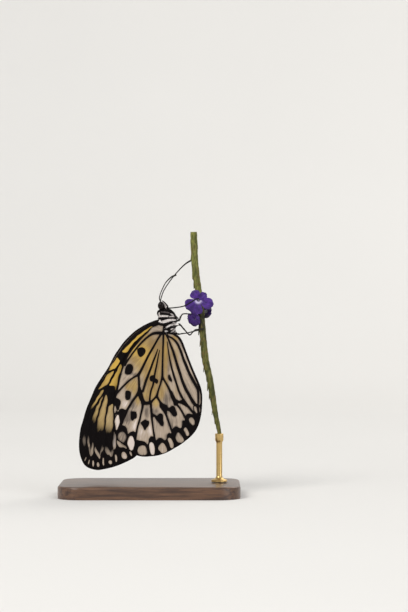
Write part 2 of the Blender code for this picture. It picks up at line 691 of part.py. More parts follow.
def make_spike():
    """The spike with pointed bracts that wind up it and lean out a little."""
    line = curve_through(SPIKE, SPIKE_LINE_STEP)
    pieces = [spike_tube("spike_core")]
    low, high = SPIKE[-1][1] + BRACTS_FROM_ENDS[0], SPIKE[0][1] - BRACTS_FROM_ENDS[1]
    for i in range(BRACTS):
        height = low + (high - low) * i / (BRACTS - 1)
        if FLOWER_ZONE[0] < height < FLOWER_ZONE[1]:
            continue
        x, z, radius = min(line, key=lambda p: abs(p.y - height))
        turn = i * BRACT_TURN
        outward = Vector((math.cos(turn), math.sin(turn), 0))
        point = (outward * math.sin(BRACT_LEAN) + Vector((0, 0, -math.cos(BRACT_LEAN)))).normalized()
        root = Vector((x, 0, z)) + outward * (radius - BRACT_SINK)
        cage = bmesh.new()
        sizes = {"radius1": BRACT_RADIUS, "radius2": BRACT_POINT, "depth": BRACT_LENGTH}
        bmesh.ops.create_cone(cage, cap_ends=True, segments=6, **sizes)
        turn_to = point.to_track_quat("Z", "Y").to_matrix().to_4x4()
        place = Matrix.Translation((root + point * BRACT_LENGTH / 2) * MM) @ turn_to
        bmesh.ops.transform(cage, matrix=place @ Matrix.Diagonal((MM, MM, MM, 1)), verts=cage.verts)
        mesh = bpy.data.meshes.new(f"bract_{i}")
        cage.to_mesh(mesh)
        cage.free()
        pieces.append(add_object(f"bract_{i}", mesh))
    return unite("spike", pieces)


def make_base():
    """A flat plinth with round corners and a softened upper edge."""
    cage = bmesh.new()
    bmesh.ops.create_cube(cage, size=1)
    size = Matrix.Diagonal((BASE_LENGTH * MM, BASE_WIDTH * MM, BASE_HEIGHT * MM, 1))
    bmesh.ops.transform(cage, matrix=Matrix.Translation((0, 0, BASE_HEIGHT * MM / 2)) @ size, verts=cage.verts)
    corners = [e for e in cage.edges if abs(e.verts[0].co.z - e.verts[1].co.z) > MM]
    bmesh.ops.bevel(cage, geom=corners, offset=BASE_CORNER * MM, segments=6, profile=0.5, affect="EDGES")
    top = BASE_HEIGHT * MM
    upper = [e for e in cage.edges if all(abs(v.co.z - top) < 1e-6 for v in e.verts)]
    bmesh.ops.bevel(cage, geom=upper, offset=BASE_EDGE * MM, segments=2, profile=0.5, affect="EDGES")
    mesh = bpy.data.meshes.new("stand_base")
    cage.to_mesh(mesh)
    cage.free()
    return add_object("stand_base", mesh)


def make_rod():
    """A turned rod with a flat foot on the base and a small cup under the spike's end."""
    foot = BASE_HEIGHT + GAP
    top = SPIKE[-1][1] - 2 * GAP
    profile = [
        (0, top),
        (ROD_CUP_RADIUS, top),
        (ROD_CUP_RADIUS, top - ROD_CUP_HEIGHT),
        (ROD_RADIUS, top - ROD_CUP_HEIGHT - ROD_CUP_SLOPE),
        (ROD_RADIUS, foot + ROD_FOOT_HEIGHT + ROD_FOOT_SLOPE),
        (ROD_FOOT_RADIUS, foot + ROD_FOOT_HEIGHT),
        (ROD_FOOT_RADIUS, foot),
        (0, foot),
    ]
    mesh = bpy.data.meshes.new("stand_rod")
    edges = [(i, i + 1) for i in range(len(profile) - 1)]
    mesh.from_pydata([(r * MM, 0, z * MM) for r, z in profile], edges, [])
    rod = add_object("stand_rod", mesh)
    turn = rod.modifiers.new("turn", "SCREW")
    turn.steps = ROD_STEPS
    turn.render_steps = ROD_STEPS
    turn.use_merge_vertices = True
    turn.merge_threshold = 0.00001
    rod.location.x = SPIKE[-1][0] * MM
    return rod


def build():
    settle(make_thorax("thorax"), "body")
    thorax_room = as_cutter(make_thorax("thorax_room", GAP))
    head_room = as_cutter(egg("head_room", HEAD_CENTRE, HEAD_RADII, GAP))
    settle(cut(egg("head", HEAD_CENTRE, HEAD_RADII), thorax_room), "body")
    settle(make_abdomen(thorax_room), "abdomen")

    settle(cut(tube("proboscis", PROBOSCIS, ANTENNA_STEP), head_room), "limb")
    roomy = [(x, y, z, radius + GAP) for x, y, z, radius in PROBOSCIS]
    proboscis_room = as_cutter(tube("proboscis_room", roomy, ANTENNA_STEP, sides=8))
    antennae = {"right": ANTENNA_RIGHT, "left": ANTENNA_LEFT}
    midlegs = {"right": MIDLEG_RIGHT, "left": MIDLEG_LEFT}
    hindlegs = {"right": HINDLEG_RIGHT, "left": HINDLEG_LEFT}
    for side_name, side in SIDES.items():
        x, y, z = EYE_CENTRE
        eye = egg("eye_" + side_name, (x, side * y, z), EYE_RADII)
        settle(cut(eye, head_room, thorax_room), "eye")
        palp = tube("palp_" + side_name, PALP, PALP_STEP, side, 8)
        settle(cut(palp, head_room, proboscis_room), "body")
        settle(cut(tube("antenna_" + side_name, antennae[side_name], ANTENNA_STEP, side), head_room), "limb")
        foreleg = tube("foreleg_" + side_name, FORELEG, LEG_STEP, side)
        settle(cut(foreleg, thorax_room), "limb")
        settle(cut(tube("midleg_" + side_name, midlegs[side_name], LEG_STEP, side), thorax_room), "limb")
        settle(cut(tube("hindleg_" + side_name, hindlegs[side_name], LEG_STEP, side), thorax_room), "limb")
        forewing_design = (FOREWING, FORE_COSTA, FORE_VEINS, FORE_HINGE, wing_stand)
        settle(cut(make_wing("forewing_" + side_name, *forewing_design, side), thorax_room), "wing")
        hindwing_design = (HINDWING, HIND_COSTA, HIND_VEINS, HIND_HINGE, hindwing_stand)
        settle(cut(make_wing("hindwing_" + side_name, *hindwing_design, side), thorax_room), "wing")

    settle(make_spike(), "stem")
    spike_room = as_cutter(spike_tube("spike_room", GAP))
    for name, spec in FLOWERS.items():
        settle(make_flower(name, spec, spike_room), "petal")
    settle(make_base(), "wood")
    settle(make_rod(), "brass")


clear_scene()
materials = {name: make_material(name) for name in COLOURS}
parts = new_collection("tree_nymph")
cutters = new_collection("cutters", shown=False)
build()
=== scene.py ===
"""The looks of a large tree nymph butterfly, wings closed, on a cut flower spike that stands on a small base.

Places are in millimetres in the part's own frame, and MM turns them into metres: X runs from the wing tips to
the spike, Y from the butterfly's right side to its left, Z up. The wings' marks lie in the wing's own plane,
and are given where they lie in the 408 by 612 photograph, in its pixels: on_wing turns those into (x, z).
"""

import math

import bmesh
import bpy
import numpy as np
from mathutils import Matrix, Vector, geometry


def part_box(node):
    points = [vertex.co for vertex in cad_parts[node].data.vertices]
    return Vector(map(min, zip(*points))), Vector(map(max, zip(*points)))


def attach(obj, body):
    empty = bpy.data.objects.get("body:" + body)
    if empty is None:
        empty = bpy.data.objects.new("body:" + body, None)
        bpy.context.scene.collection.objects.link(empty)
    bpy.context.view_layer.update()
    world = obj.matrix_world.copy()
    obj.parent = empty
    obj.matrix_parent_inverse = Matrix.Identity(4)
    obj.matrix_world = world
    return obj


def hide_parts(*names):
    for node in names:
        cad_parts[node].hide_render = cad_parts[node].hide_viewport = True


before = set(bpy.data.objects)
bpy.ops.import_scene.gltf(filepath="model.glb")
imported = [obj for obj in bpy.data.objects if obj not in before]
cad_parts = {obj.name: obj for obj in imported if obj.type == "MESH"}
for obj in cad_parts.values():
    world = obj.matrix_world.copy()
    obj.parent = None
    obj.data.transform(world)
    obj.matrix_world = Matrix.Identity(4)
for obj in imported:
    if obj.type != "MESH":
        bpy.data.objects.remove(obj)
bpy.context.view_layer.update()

MM = 0.001
SIDES = {"right": -1, "left": 1}
SEED = 7
# Further than any mark of the wings reaches.
FAR = 1000.0

# The photograph's scale at the butterfly, and the pixel where X and Z are 0.
MM_PER_PIXEL = 0.4
ZERO_PIXEL = np.array([150.0, 495.0])
PHOTO_SIZE = (408, 612)

# Wing hinges as (x, half width, z), and how far the closed wings stand from the middle plane.
FORE_HINGE = (3.9, 1.75, 69.0)
HIND_HINGE = (5.7, 2.7, 65.4)
WING_STAND = 0.85
HINGE_STAND = 0.9
HINGE_REACH = 8.0
TIP_SPREAD = 1.1
TIP_REACH = 60.0
WING_LAYER = 1.15
# The room that the hindwing leaves for the abdomen, and between which heights it opens and closes.
ABDOMEN_ROOM = 0.95
ABDOMEN_ROOM_REACH = 4.6
ABDOMEN_AXIS = [(7.3, 64.2), (11.8, 51.9), (14.3, 39.6)]
ROOM_TOP = (66.5, 58.0)
ROOM_END = (34.0, 43.0)

# The wing's skin: its thickness, how far a vein stands up from it, how it sinks between veins, and its grid.
MEMBRANE = 0.14
VEIN_HEIGHT = 0.17
VEIN_SLOPE = 0.28
MEMBRANE_SAG = 0.22
SAG_REACH = 1.6
WING_GRID = 0.27
WING_EDGE_STEP = 0.26
POINT_MERGE = 0.08
# So many mm along the wing are one unit of its streaks.
STREAK_LENGTH = 400
# Shares of a grid step: between the grid's rows, and kept clear of the edge and of the veins.
GRID_ROW = 0.87
GRID_ROOM = 0.45
SPINE_ROOM = 0.3
# How far and how widely drawn edges wander, how far black shapes run together where they meet, the steps
# along strokes and fields, and how far past its corners a field is measured.
WANDER = 0.08
WANDER_SIZE = 1.4
INK_MELT = 0.22
STROKE_STEP = 0.8
FIELD_STEP = 0.3
FIELD_REACH = 2.0

# Forewing outline, from the hinge along the front edge, round the tip and back along the inner margin.
FORE_OUTLINE = [
    (161.8, 320.3), (156.5, 320), (147.1, 323.7), (139.4, 328), (131.8, 333.7), (124.1, 341.7),
    (119.5, 347.9), (114.7, 355), (108.2, 367.4), (101.9, 377), (95.7, 386.9), (91.6, 396.5), (86.6, 408.5),
    (83.3, 419.7), (80.7, 428.7), (79.3, 440.7), (79.5, 450.2), (81.2, 457.4), (84.1, 463.6), (87.9, 467),
    (93.2, 468.9), (98, 469.7), (103.7, 468.9), (109.4, 467.7), (115.7, 466), (122.8, 463.2), (129.1, 460.3),
    (136, 456), (142, 447.5), (145.3, 435), (148, 415), (151, 390), (153.8, 362), (155.5, 342.5),
    (156.8, 329.5), (160.5, 325.3),
]
# Light fields on the forewing's black ground: gold share, paleness, dimness, then the corners of each.
FORE_FIELDS = {
    "first_streak": (1, 0.1, 0, [
        (152.6, 326), (150, 327), (147, 329), (143, 331.8), (139, 334.7), (135, 338.4), (131, 342.4),
        (127, 346.4), (124, 349.4), (122.2, 351.4), (123.6, 352.6), (126.4, 352.2), (128.4, 350.4),
        (130.2, 347.8), (132.2, 345), (134.6, 341.9), (137.6, 339), (141.2, 335.9), (144.4, 333.4),
        (147.8, 330.9), (150.8, 329), (153.2, 327.4)]),
    "second_streak": (1, 0.25, 0, [
        (117.4, 357.5), (116.1, 359.2), (114.1, 362), (112.1, 364.8), (110.5, 367.4), (109.1, 369.7),
        (108.9, 370.8), (110.8, 370.3), (113, 368.9), (115.4, 368), (116.8, 366.2), (118.6, 363.6),
        (119.8, 361.2), (118.8, 359.6)]),
    "front_wedge": (0.82, 0.1, 0, [
        (114, 370.9), (111.8, 371.8), (109.2, 373.2), (107.3, 374.9), (106, 377.2), (104.4, 380.2),
        (102.4, 383.1), (100.8, 385.7), (99.3, 388), (98.2, 390.2), (99.4, 389.5), (101.6, 387.7),
        (104.3, 385.9), (107.3, 384.3), (108.8, 382), (110.2, 379), (111.8, 376.2), (113, 373.6)]),
    "back_wedge": (0.9, 0.1, 0, [
        (120.6, 364), (119.6, 365.8), (118.2, 368.6), (116.6, 371.6), (115.1, 374), (114, 376.8),
        (112.4, 379.4), (110.9, 382.4), (109.5, 385), (110.6, 385.7), (113, 385.5), (114.8, 386.2),
        (115.3, 388.6), (115.9, 391.4), (116.5, 388.4), (117, 384.4), (117.5, 381), (118.3, 377.6),
        (119.2, 374.4), (120.4, 371.4), (121.4, 368.6), (122.1, 366.4), (121.4, 364.6)]),
    "first_ray": (0.72, 0.32, 0, [
        (103.9, 389.4), (102.4, 390.2), (100.8, 391.6), (99.5, 393.8), (98.1, 396.2), (96.5, 398.8),
        (94.9, 401.2), (93.1, 403.8), (91.6, 406.2), (90.6, 409.4), (92.6, 408.2), (94.6, 405.5),
        (96.5, 402.4), (98.4, 399.6), (100.3, 396.8), (102.2, 394), (103.5, 391.4)]),
    "second_ray": (0.6, 0.2, 0.02, [
        (102.9, 395.8), (101.4, 398), (100.2, 400.8), (98.9, 403.6), (97.2, 406), (96, 408.6), (94.6, 411.6),
        (93.5, 414.8), (92.6, 418.4), (91.9, 422), (92.3, 425.6), (94.2, 423.4), (95.8, 420.2), (97, 416.6),
        (98.2, 412.4), (99.3, 408), (100.4, 404.4), (101.7, 400.6), (103.3, 397)]),
    "third_ray": (0.52, 0.1, 0, [
        (106.4, 394.4), (105.2, 396.4), (104.2, 400), (102.6, 403.6), (101.3, 407.6), (100.2, 411.8),
        (99, 415.6), (98, 420), (97.3, 425), (97.2, 430), (98.4, 435.4), (100.4, 436.6), (102.4, 434.6),
        (103.6, 430), (104.2, 425), (104.7, 420), (105.2, 415), (106, 410), (107, 405), (107.6, 400),
        (107.4, 396.4)]),
    "fourth_ray": (0.45, 0.4, 0, [
        (112.8, 404), (110.8, 404.8), (109.1, 406.6), (108.1, 410), (107.1, 414.6), (106.3, 419.6),
        (105.8, 425), (105.8, 430), (106.6, 435.4), (108.6, 437.2), (110.8, 434.6), (112.4, 429.4),
        (113.1, 424), (113.5, 418), (113.3, 412), (113.1, 407)]),
    "tip_oval": (0.08, -0.5, 0.3, [
        (84.5, 434), (83.3, 437.6), (82.9, 441), (83.5, 444.6), (84.6, 446.6), (85.8, 444), (86.2, 440.4),
        (85.6, 436.8)]),
    "first_v_front": (0.12, -0.15, 0.1, [
        (88.2, 434.8), (87.7, 439), (88, 443.6), (88.8, 448.4), (89.8, 452.4), (90.8, 455.8), (91.6, 455),
        (91, 451), (90.3, 446.6), (89.8, 442), (89.2, 437.6)]),
    "first_v_back": (0.1, 0, 0.05, [
        (92.9, 441), (92.2, 443.8), (91.5, 447.8), (91.1, 451.6), (91.5, 455.4), (92.9, 453.4), (93.8, 449.8),
        (93.8, 445.2)]),
    "second_v_front": (0.08, 0.1, 0.04, [
        (95.5, 446), (94.9, 449.2), (95.6, 452.6), (97, 455.4), (98.4, 457), (99.8, 458.8), (100.4, 456.4),
        (99.8, 453.8), (98.2, 451.2), (96.6, 448.2)]),
    "second_v_back": (0.08, -0.1, 0.15, [
        (103.3, 441.2), (102.3, 444), (101.5, 447.2), (100.8, 450.6), (100.3, 453.4), (100.7, 455.4),
        (101.5, 452.6), (103.3, 450.2), (104.2, 446.8), (104.2, 443.6)]),
    "third_v_front": (0.06, -0.1, 0.1, [
        (105.3, 442), (105.1, 446.6), (105.7, 451.2), (107.2, 454.4), (109.6, 455), (111, 456.8),
        (112, 454.6), (110.8, 451.6), (109.2, 448.8), (107.2, 445.4)]),
    "third_v_back": (0.1, -0.15, 0.12, [
        (112.8, 448.6), (111.7, 451.2), (111.3, 454.2), (111.7, 456.8), (113.1, 454), (114, 451)]),
    "pink_streak": (0.04, 0.75, 0, [
        (114.5, 431), (113.5, 435.4), (113, 440.6), (113, 446), (113.5, 449.4), (115.2, 448.2), (116, 445),
        (116.2, 440), (115.8, 434.8)]),
    "pink_wedge": (0.04, 0.15, 0, [
        (117.2, 440), (117.4, 443.4), (118.8, 446), (121, 447.2), (124, 447.2), (126.6, 448.6), (126, 446),
        (123.6, 444.4), (121, 442.6), (118.8, 440.8)]),
    "hidden_cell": (0.7, 0.1, 0, [
        (150.6, 335), (136, 350), (126, 368), (122, 386), (136, 388), (146, 366), (153, 344)]),
    "hidden_rays": (0.35, 0.15, 0, [(122, 396), (119, 420), (121, 440), (134, 440), (141, 420), (144, 396)]),
}
# A thin grey line in the forewing's black front edge, as (x, y, width).
FORE_GREY_LINE = [
    (146, 325.7, 0.4), (136, 332.4, 0.5), (126, 342.4, 0.6), (116.5, 355.8, 0.7), (109, 369.3, 0.6),
    (102, 380.3, 0.4),
]
# Small white dots along the outer margin: centre, width, height, turn in degrees, dimness.
FORE_DOTS = [
    (85.7, 458.8, 1.2, 4.2, 16, 0.45), (89.3, 461.7, 1.3, 4.6, 12, 0.3), (93.4, 463, 1.6, 6.2, 4, 0),
    (98.3, 464.4, 2.8, 4.6, 0, 0.12), (103.6, 461.2, 1.6, 7.6, -4, 0), (110.6, 462, 3.6, 3.8, -10, 0),
    (116.2, 457.8, 2.1, 7.4, -8, 0), (124.3, 455.2, 5.4, 7.2, -18, 0), (130.9, 453.4, 1.7, 5.2, -14, 0),
]
# Gold share and paleness of the dots; gold share, paleness and dimness of the grey line.
DOT_SHADE = (0.02, 0.5)
GREY_LINE_SHADE = (0.05, -0.8, 0.3)
# Where the forewing's light fields fade into the black: centre, width, height, amount.
FORE_FADES = [
    (100.4, 437, 13, 19, 1.2), (108.4, 438, 13, 19, 1.2), (92.6, 425, 9, 17, 1.2), (91, 408.8, 8, 9, 0.9),
    (98.2, 390.4, 6, 6, 0.6), (116, 390, 4, 9, 0.8), (109, 371, 5, 5, 0.6), (103, 396, 5, 6, 0.5),
    (84.6, 434.6, 5, 5, 0.5), (84.6, 446, 5, 5, 0.5), (88.2, 435, 5, 8, 0.5), (92.8, 441, 4, 5, 0.5),
    (95.4, 446, 4, 5, 0.4), (103.2, 441.4, 4, 7, 0.5), (105.4, 442.4, 5, 8, 0.5), (114.4, 431.4, 4, 7, 0.5),
    (120.8, 364.4, 4, 4, 0.3), (152.4, 326.6, 6, 4, 0.25), (113.4, 449, 4, 5, 0.5),
]
# Black strokes over the hidden fields, as (x, y, width).
FORE_INK = {
    "hidden_median": [(155, 330, 1.8), (146, 360, 1.7), (141, 390, 1.6), (142, 440, 1.6)],
    "hidden_cubital": [(154, 330, 1.8), (138, 362, 1.7), (124, 392, 1.6), (122, 440, 1.6)],
}
# Forewing veins for the relief, as points along each.
FORE_VEINS = [
    [(159, 322.3), (149.5, 327.5), (140, 333), (130, 341.8), (120.5, 352.6), (111.5, 365), (103.5, 377)],
    [(159, 322.5), (148, 330.4), (138, 339.2), (128, 348.6), (121.6, 359.8), (115.4, 368.4), (109.4, 382.4),
     (104.4, 391), (98.6, 399.6), (93.8, 409), (89.4, 423), (86.4, 443), (84.6, 461)],
    [(115.4, 368.4), (106.6, 373.9), (99.6, 383.6), (93.6, 395)],
    [(106.6, 386.6), (99.6, 392), (95.2, 397), (91.6, 404), (87, 418)],
    [(104.4, 391), (101, 402), (97.6, 414), (95.4, 432), (94.6, 448), (91.6, 466)],
    [(108.6, 392), (108, 404), (106.2, 414), (105, 434), (104.6, 448), (100.8, 467)],
    [(113.6, 392), (115.2, 408), (114, 424), (112.4, 440), (113, 452), (107.6, 466)],
    [(124, 392), (123.6, 412), (121, 436), (120.6, 462)],
    [(138, 362), (135, 400), (132, 436), (128, 459)],
    [(159, 323), (148, 342), (138, 362), (124, 392), (113.6, 392), (108.6, 392), (104.4, 391)],
    [(159, 323.6), (152.6, 352), (147.6, 392), (142, 438)],
]

# Hindwing outline, from the shoulder along the front edge, round the outer margin to the body.
HIND_OUTLINE = [
    (165, 326), (158.6, 324.5), (151.7, 327.2), (147.1, 331.4), (143.3, 334.8), (139.4, 339), (135.6, 343.6),
    (131.8, 348.2), (128.7, 352.4), (126.4, 356.7), (124.1, 362), (121.8, 367.7), (120.2, 373.2),
    (118.9, 378.2), (117.7, 384), (116.6, 389.4), (114.8, 396.5), (113.7, 404.8), (113.4, 413), (114, 424),
    (116.2, 434.6), (120.9, 442.2), (125.7, 444.9), (132.4, 451.2), (136.6, 454.6), (143.3, 456.2),
    (150.4, 455.9), (156.5, 455.2), (162.7, 453.7), (168.8, 451.1), (174.9, 447.6), (180, 444.6),
    (186, 440.2), (191.6, 435.3), (195.9, 430), (199, 423.6), (200.8, 416.4), (201.9, 409.3), (202.3, 401.1),
    (202.2, 395), (201.2, 389), (198.8, 382.2), (194.8, 373.2), (191.4, 365), (188.4, 357.2), (185.4, 349.2),
    (182.4, 341.4), (179, 336.4), (173.4, 332.6), (167.5, 332),
]
# Hindwing veins, as (x, y, width of the black line) along each.
HIND_VEINS = {
    "subcostal": [
        (163.4, 333, 2.8), (158, 332.9, 2.9), (153.4, 333.5, 2.6), (149.4, 335.7, 2.1), (145, 339.3, 2),
        (140.4, 343.9, 1.9), (136.6, 348.3, 1.8), (133.4, 352.4, 1.6), (130, 357.3, 1.6), (127.2, 361.5, 1.7),
        (125.2, 365.4, 1.4)],
    "cell_front": [
        (161.6, 333.4, 2.4), (159.2, 337, 1.9), (156.2, 342.2, 1.9), (152.8, 348.2, 2.1), (149.4, 354, 2.1),
        (146.2, 360.2, 2.2), (143, 366.8, 2.3), (140.6, 371.4, 2.5), (138.6, 374.6, 3)],
    "radial": [
        (138.6, 374.6, 2.4), (134.4, 376.9, 1.7), (130, 379.9, 1.7), (125.6, 384, 1.8), (121.2, 388.4, 1.8),
        (117.6, 392.4, 2), (114.4, 396, 2.6)],
    "cell_corner": [
        (138.8, 374.6, 2.2), (139.1, 380, 2.1), (139.3, 386, 2.2), (139.7, 390, 3.8), (140, 393.6, 5)],
    "cell_corner_low": [(140, 392, 4.6), (140.8, 395.4, 4.8), (142.2, 399.4, 4.2), (144.2, 402.6, 4)],
    "median_1": [
        (139.2, 391.6, 3.4), (136.2, 396.2, 2.4), (133.2, 400.2, 2.2), (130.2, 405, 2.3), (127.6, 409.4, 2.4),
        (125, 415, 2.4), (122.6, 420.6, 2.2), (120.8, 425.2, 2.2), (117.6, 433.4, 1.8)],
    "median_2": [
        (143, 403, 2.8), (142.4, 408, 2), (141.1, 414, 1.8), (139.7, 420, 2), (138, 425.6, 1.9),
        (136.9, 430.6, 1.8), (136, 436, 1.8), (135.4, 441, 1.9), (135.6, 454.6, 2)],
    "cell_end": [
        (143, 402.6, 3.8), (146.8, 402.9, 3.4), (150.6, 402.2, 3), (152.8, 400, 1.9), (154.8, 398, 1.8),
        (156.9, 396, 2.6)],
    "median_3": [
        (150.9, 402.4, 2.4), (151.3, 408, 2.2), (151.8, 414, 2.4), (152.3, 420, 1.8), (153, 426, 1.7),
        (153.8, 432, 1.8), (154.8, 438, 1.9), (155.6, 443, 2), (157.2, 455, 2.2)],
    "cubital_stem": [
        (163.7, 327.2, 1.2), (163.6, 334, 1.9), (163.4, 342, 1.9), (163.1, 350, 1.8), (162.8, 360, 1.8),
        (162.6, 370, 2), (162.5, 377, 2.3)],
    "cubital_link": [(162.4, 377, 2.2), (160.5, 384, 1.7), (158.5, 390, 1.8), (156.9, 396.2, 2.4)],
    "cubital_1": [
        (156.9, 396.2, 2.4), (159.6, 400.6, 2), (163, 407, 3), (166.2, 414.4, 2), (168.2, 420, 1.8),
        (170, 425, 1.8), (171.8, 430.4, 1.9), (174, 436, 2), (178.6, 445, 2)],
    "cubital_2": [
        (162.6, 377, 2.2), (165.2, 381.4, 1.8), (167.8, 386, 1.9), (170.4, 391.2, 2.3), (173.4, 397.6, 3.6),
        (176.4, 403.4, 2.4), (180, 408, 1.8), (182.8, 412.6, 1.8), (185.2, 417, 2.2), (188.4, 422, 2.4),
        (193.2, 431.6, 2.4)],
    "anal_1": [
        (167.3, 341.6, 0.7), (168.2, 348, 1), (169.1, 354.6, 1.2), (170.2, 360.4, 1.5), (171.3, 365.6, 1.8),
        (172.5, 370.4, 1.9), (174, 375.4, 2), (175.7, 380.4, 2), (177.2, 385.2, 2), (178.8, 390.2, 2.1),
        (181.1, 395.2, 2.2), (183.9, 400.2, 2.4), (187.6, 405.2, 2.4), (191.3, 410, 2.2), (195, 414.4, 2.6)],
    "anal_2": [
        (165.4, 332.8, 1.6), (167, 336, 1.6), (168.9, 340, 1.7), (170.8, 345, 2), (172.8, 350, 2.2),
        (174.4, 355, 2.4), (175.9, 360, 2.4), (177.4, 365, 2.6), (179, 370, 2.7), (180.7, 375, 2.6),
        (182.2, 380, 2.6), (184.1, 385, 2.8), (186.4, 390, 2.8), (189.3, 395, 2.9), (192.2, 400, 3.2),
        (195.4, 404.6, 3.4), (199.8, 407, 3)],
    "anal_3": [
        (165.8, 333.2, 1.6), (168.6, 336.2, 1.6), (171.8, 337.8, 1.7), (175, 340.4, 2), (178, 344.6, 2.2),
        (180.4, 350, 2.3), (182.2, 355, 2.3), (183.9, 360, 2.5), (186.1, 365, 2.8), (188, 370, 2.7),
        (190.3, 375, 2.8), (193, 380, 2.9), (195.7, 385, 2.7), (197.8, 389.6, 2.2), (198.2, 395, 2),
        (198.1, 405, 1.6), (198, 413, 1.8)],
    "cell_streak_front": [
        (157.9, 349, 0.8), (156.6, 353, 1.4), (155, 357.4, 1.7), (153.2, 361.8, 1.9), (151.6, 366.4, 2.1),
        (149.8, 371, 2.1), (147.8, 376.4, 2.4), (146.1, 380.8, 2.4), (144.7, 385.4, 2.2), (143, 391, 2.2)],
    "cell_streak_back": [
        (159.8, 350, 0.7), (158.6, 355, 1.1), (157.7, 360, 1.4), (156.8, 365, 1.6), (155.7, 370, 1.8),
        (154.8, 374.6, 1.8), (153.9, 380, 2), (153.1, 385, 1.8), (151.3, 390, 1.8), (150.3, 395, 1.6),
        (149.8, 401, 1.8)],
}
# Black blots on the hindwing, by the points round each.
HIND_BLOTS = {
    "front_cell_upper": [
        (137.2, 349.8), (138.4, 348.4), (140.4, 347.2), (142.6, 347.2), (144.7, 348.6), (145.7, 350.8),
        (145.2, 353.4), (143.4, 355.6), (141, 356.9), (139, 355.6), (137.5, 352.8)],
    "front_cell_lower": [
        (126.5, 366), (127.6, 364.2), (130, 363.6), (132.2, 364.5), (133.3, 367), (132.9, 370),
        (131.7, 372.8), (129.8, 374.1), (127, 374.3), (125, 373.6), (125.1, 370.4), (125.8, 367.8)],
    "radial_cell": [
        (125.4, 392.2), (126.8, 390.4), (129.2, 390.3), (130.8, 392), (131.1, 395.6), (130.4, 398.6),
        (128.6, 399.7), (126.6, 399.4), (125.4, 397)],
    "front_margin": [
        (111, 395.4), (115, 397), (118.4, 398.3), (120.4, 400.2), (120.9, 403.4), (120.1, 406.6),
        (119, 409.6), (117.4, 408.2), (115.8, 405.2), (114.2, 404.4), (112, 404.6)],
    "side_bar": [
        (112, 417.6), (112.6, 414.6), (115.4, 412.6), (118, 411.2), (120, 409.2), (122.8, 408.4),
        (126, 409.6), (128.2, 409.8), (126.4, 414.6), (124.4, 419.4), (122.4, 424.2), (120.6, 425.4),
        (120, 422), (120, 417.4), (118.4, 413.8), (116, 414.2), (114.4, 417.4)],
    "median_cell": [
        (130.7, 411.9), (131.5, 410.8), (133.6, 411.3), (136, 411.8), (136.8, 413.8), (137.1, 416.6),
        (136.4, 418.2), (134.5, 419.1), (133.2, 420.5), (131.7, 419.6), (130.8, 416.6)],
    "diamond": [
        (140.9, 422.4), (142.2, 421), (143.8, 419.9), (145.6, 419.4), (147.5, 420.6), (149.1, 420.8),
        (149.3, 422.6), (148.4, 425.6), (147, 427.5), (145.3, 430.1), (143.5, 427.6), (141.8, 424.8)],
    "cubital_cell": [
        (151.4, 410.2), (153.1, 412.8), (155.2, 414.7), (157.3, 415.4), (158.8, 413.8), (160.6, 413),
        (162.3, 413.6), (163.2, 416), (163.5, 419.6), (163.8, 422.8), (162.7, 425.7), (160.8, 424.9),
        (158.4, 422.4), (156.2, 419.3), (154.2, 416.8), (152, 416.4)],
    "hook_inner": [
        (159.4, 400.4), (162.2, 402.5), (165, 404.1), (167, 405.1), (168, 407.4), (168.5, 409.6),
        (167.3, 411), (167.2, 413.4), (165.7, 415.3), (163.9, 411.9), (162, 409.4), (160.3, 407.2),
        (159.6, 404.4)],
    "hook_outer": [
        (167.4, 407.6), (169.8, 407.2), (171.3, 405.9), (173.2, 405.3), (174.9, 406.5), (176.1, 409.2),
        (177.1, 412.2), (177, 414.8), (175.2, 416.2), (173.2, 415.4), (171.2, 413.5), (169.3, 411.4),
        (167.6, 409.8)],
    "back_bar": [
        (169.6, 390.6), (171.8, 390.8), (174.2, 395.4), (176.8, 399), (180, 400.4), (183, 399.6),
        (186.6, 403.4), (189.9, 407.4), (187.4, 407), (184.8, 405.3), (181.6, 404), (178.4, 403.2),
        (176.8, 405), (174.4, 405), (172.4, 400.4), (170.6, 395.2)],
    "back_cell": [
        (168.2, 375.4), (169.6, 374.7), (170.9, 376.4), (171.9, 379), (172.1, 380.8), (170.9, 381.6),
        (169.3, 380.3), (168.4, 378)],
    "cell_pair": [
        (149.9, 377.2), (151.1, 375.3), (153.4, 374.9), (155.1, 376.3), (155.9, 378.3), (157.4, 379.1),
        (158.2, 381), (157.6, 383.3), (156.2, 383.6), (154.8, 382.1), (153.2, 380.9), (151.2, 381.2),
        (149.9, 379.6)],
}
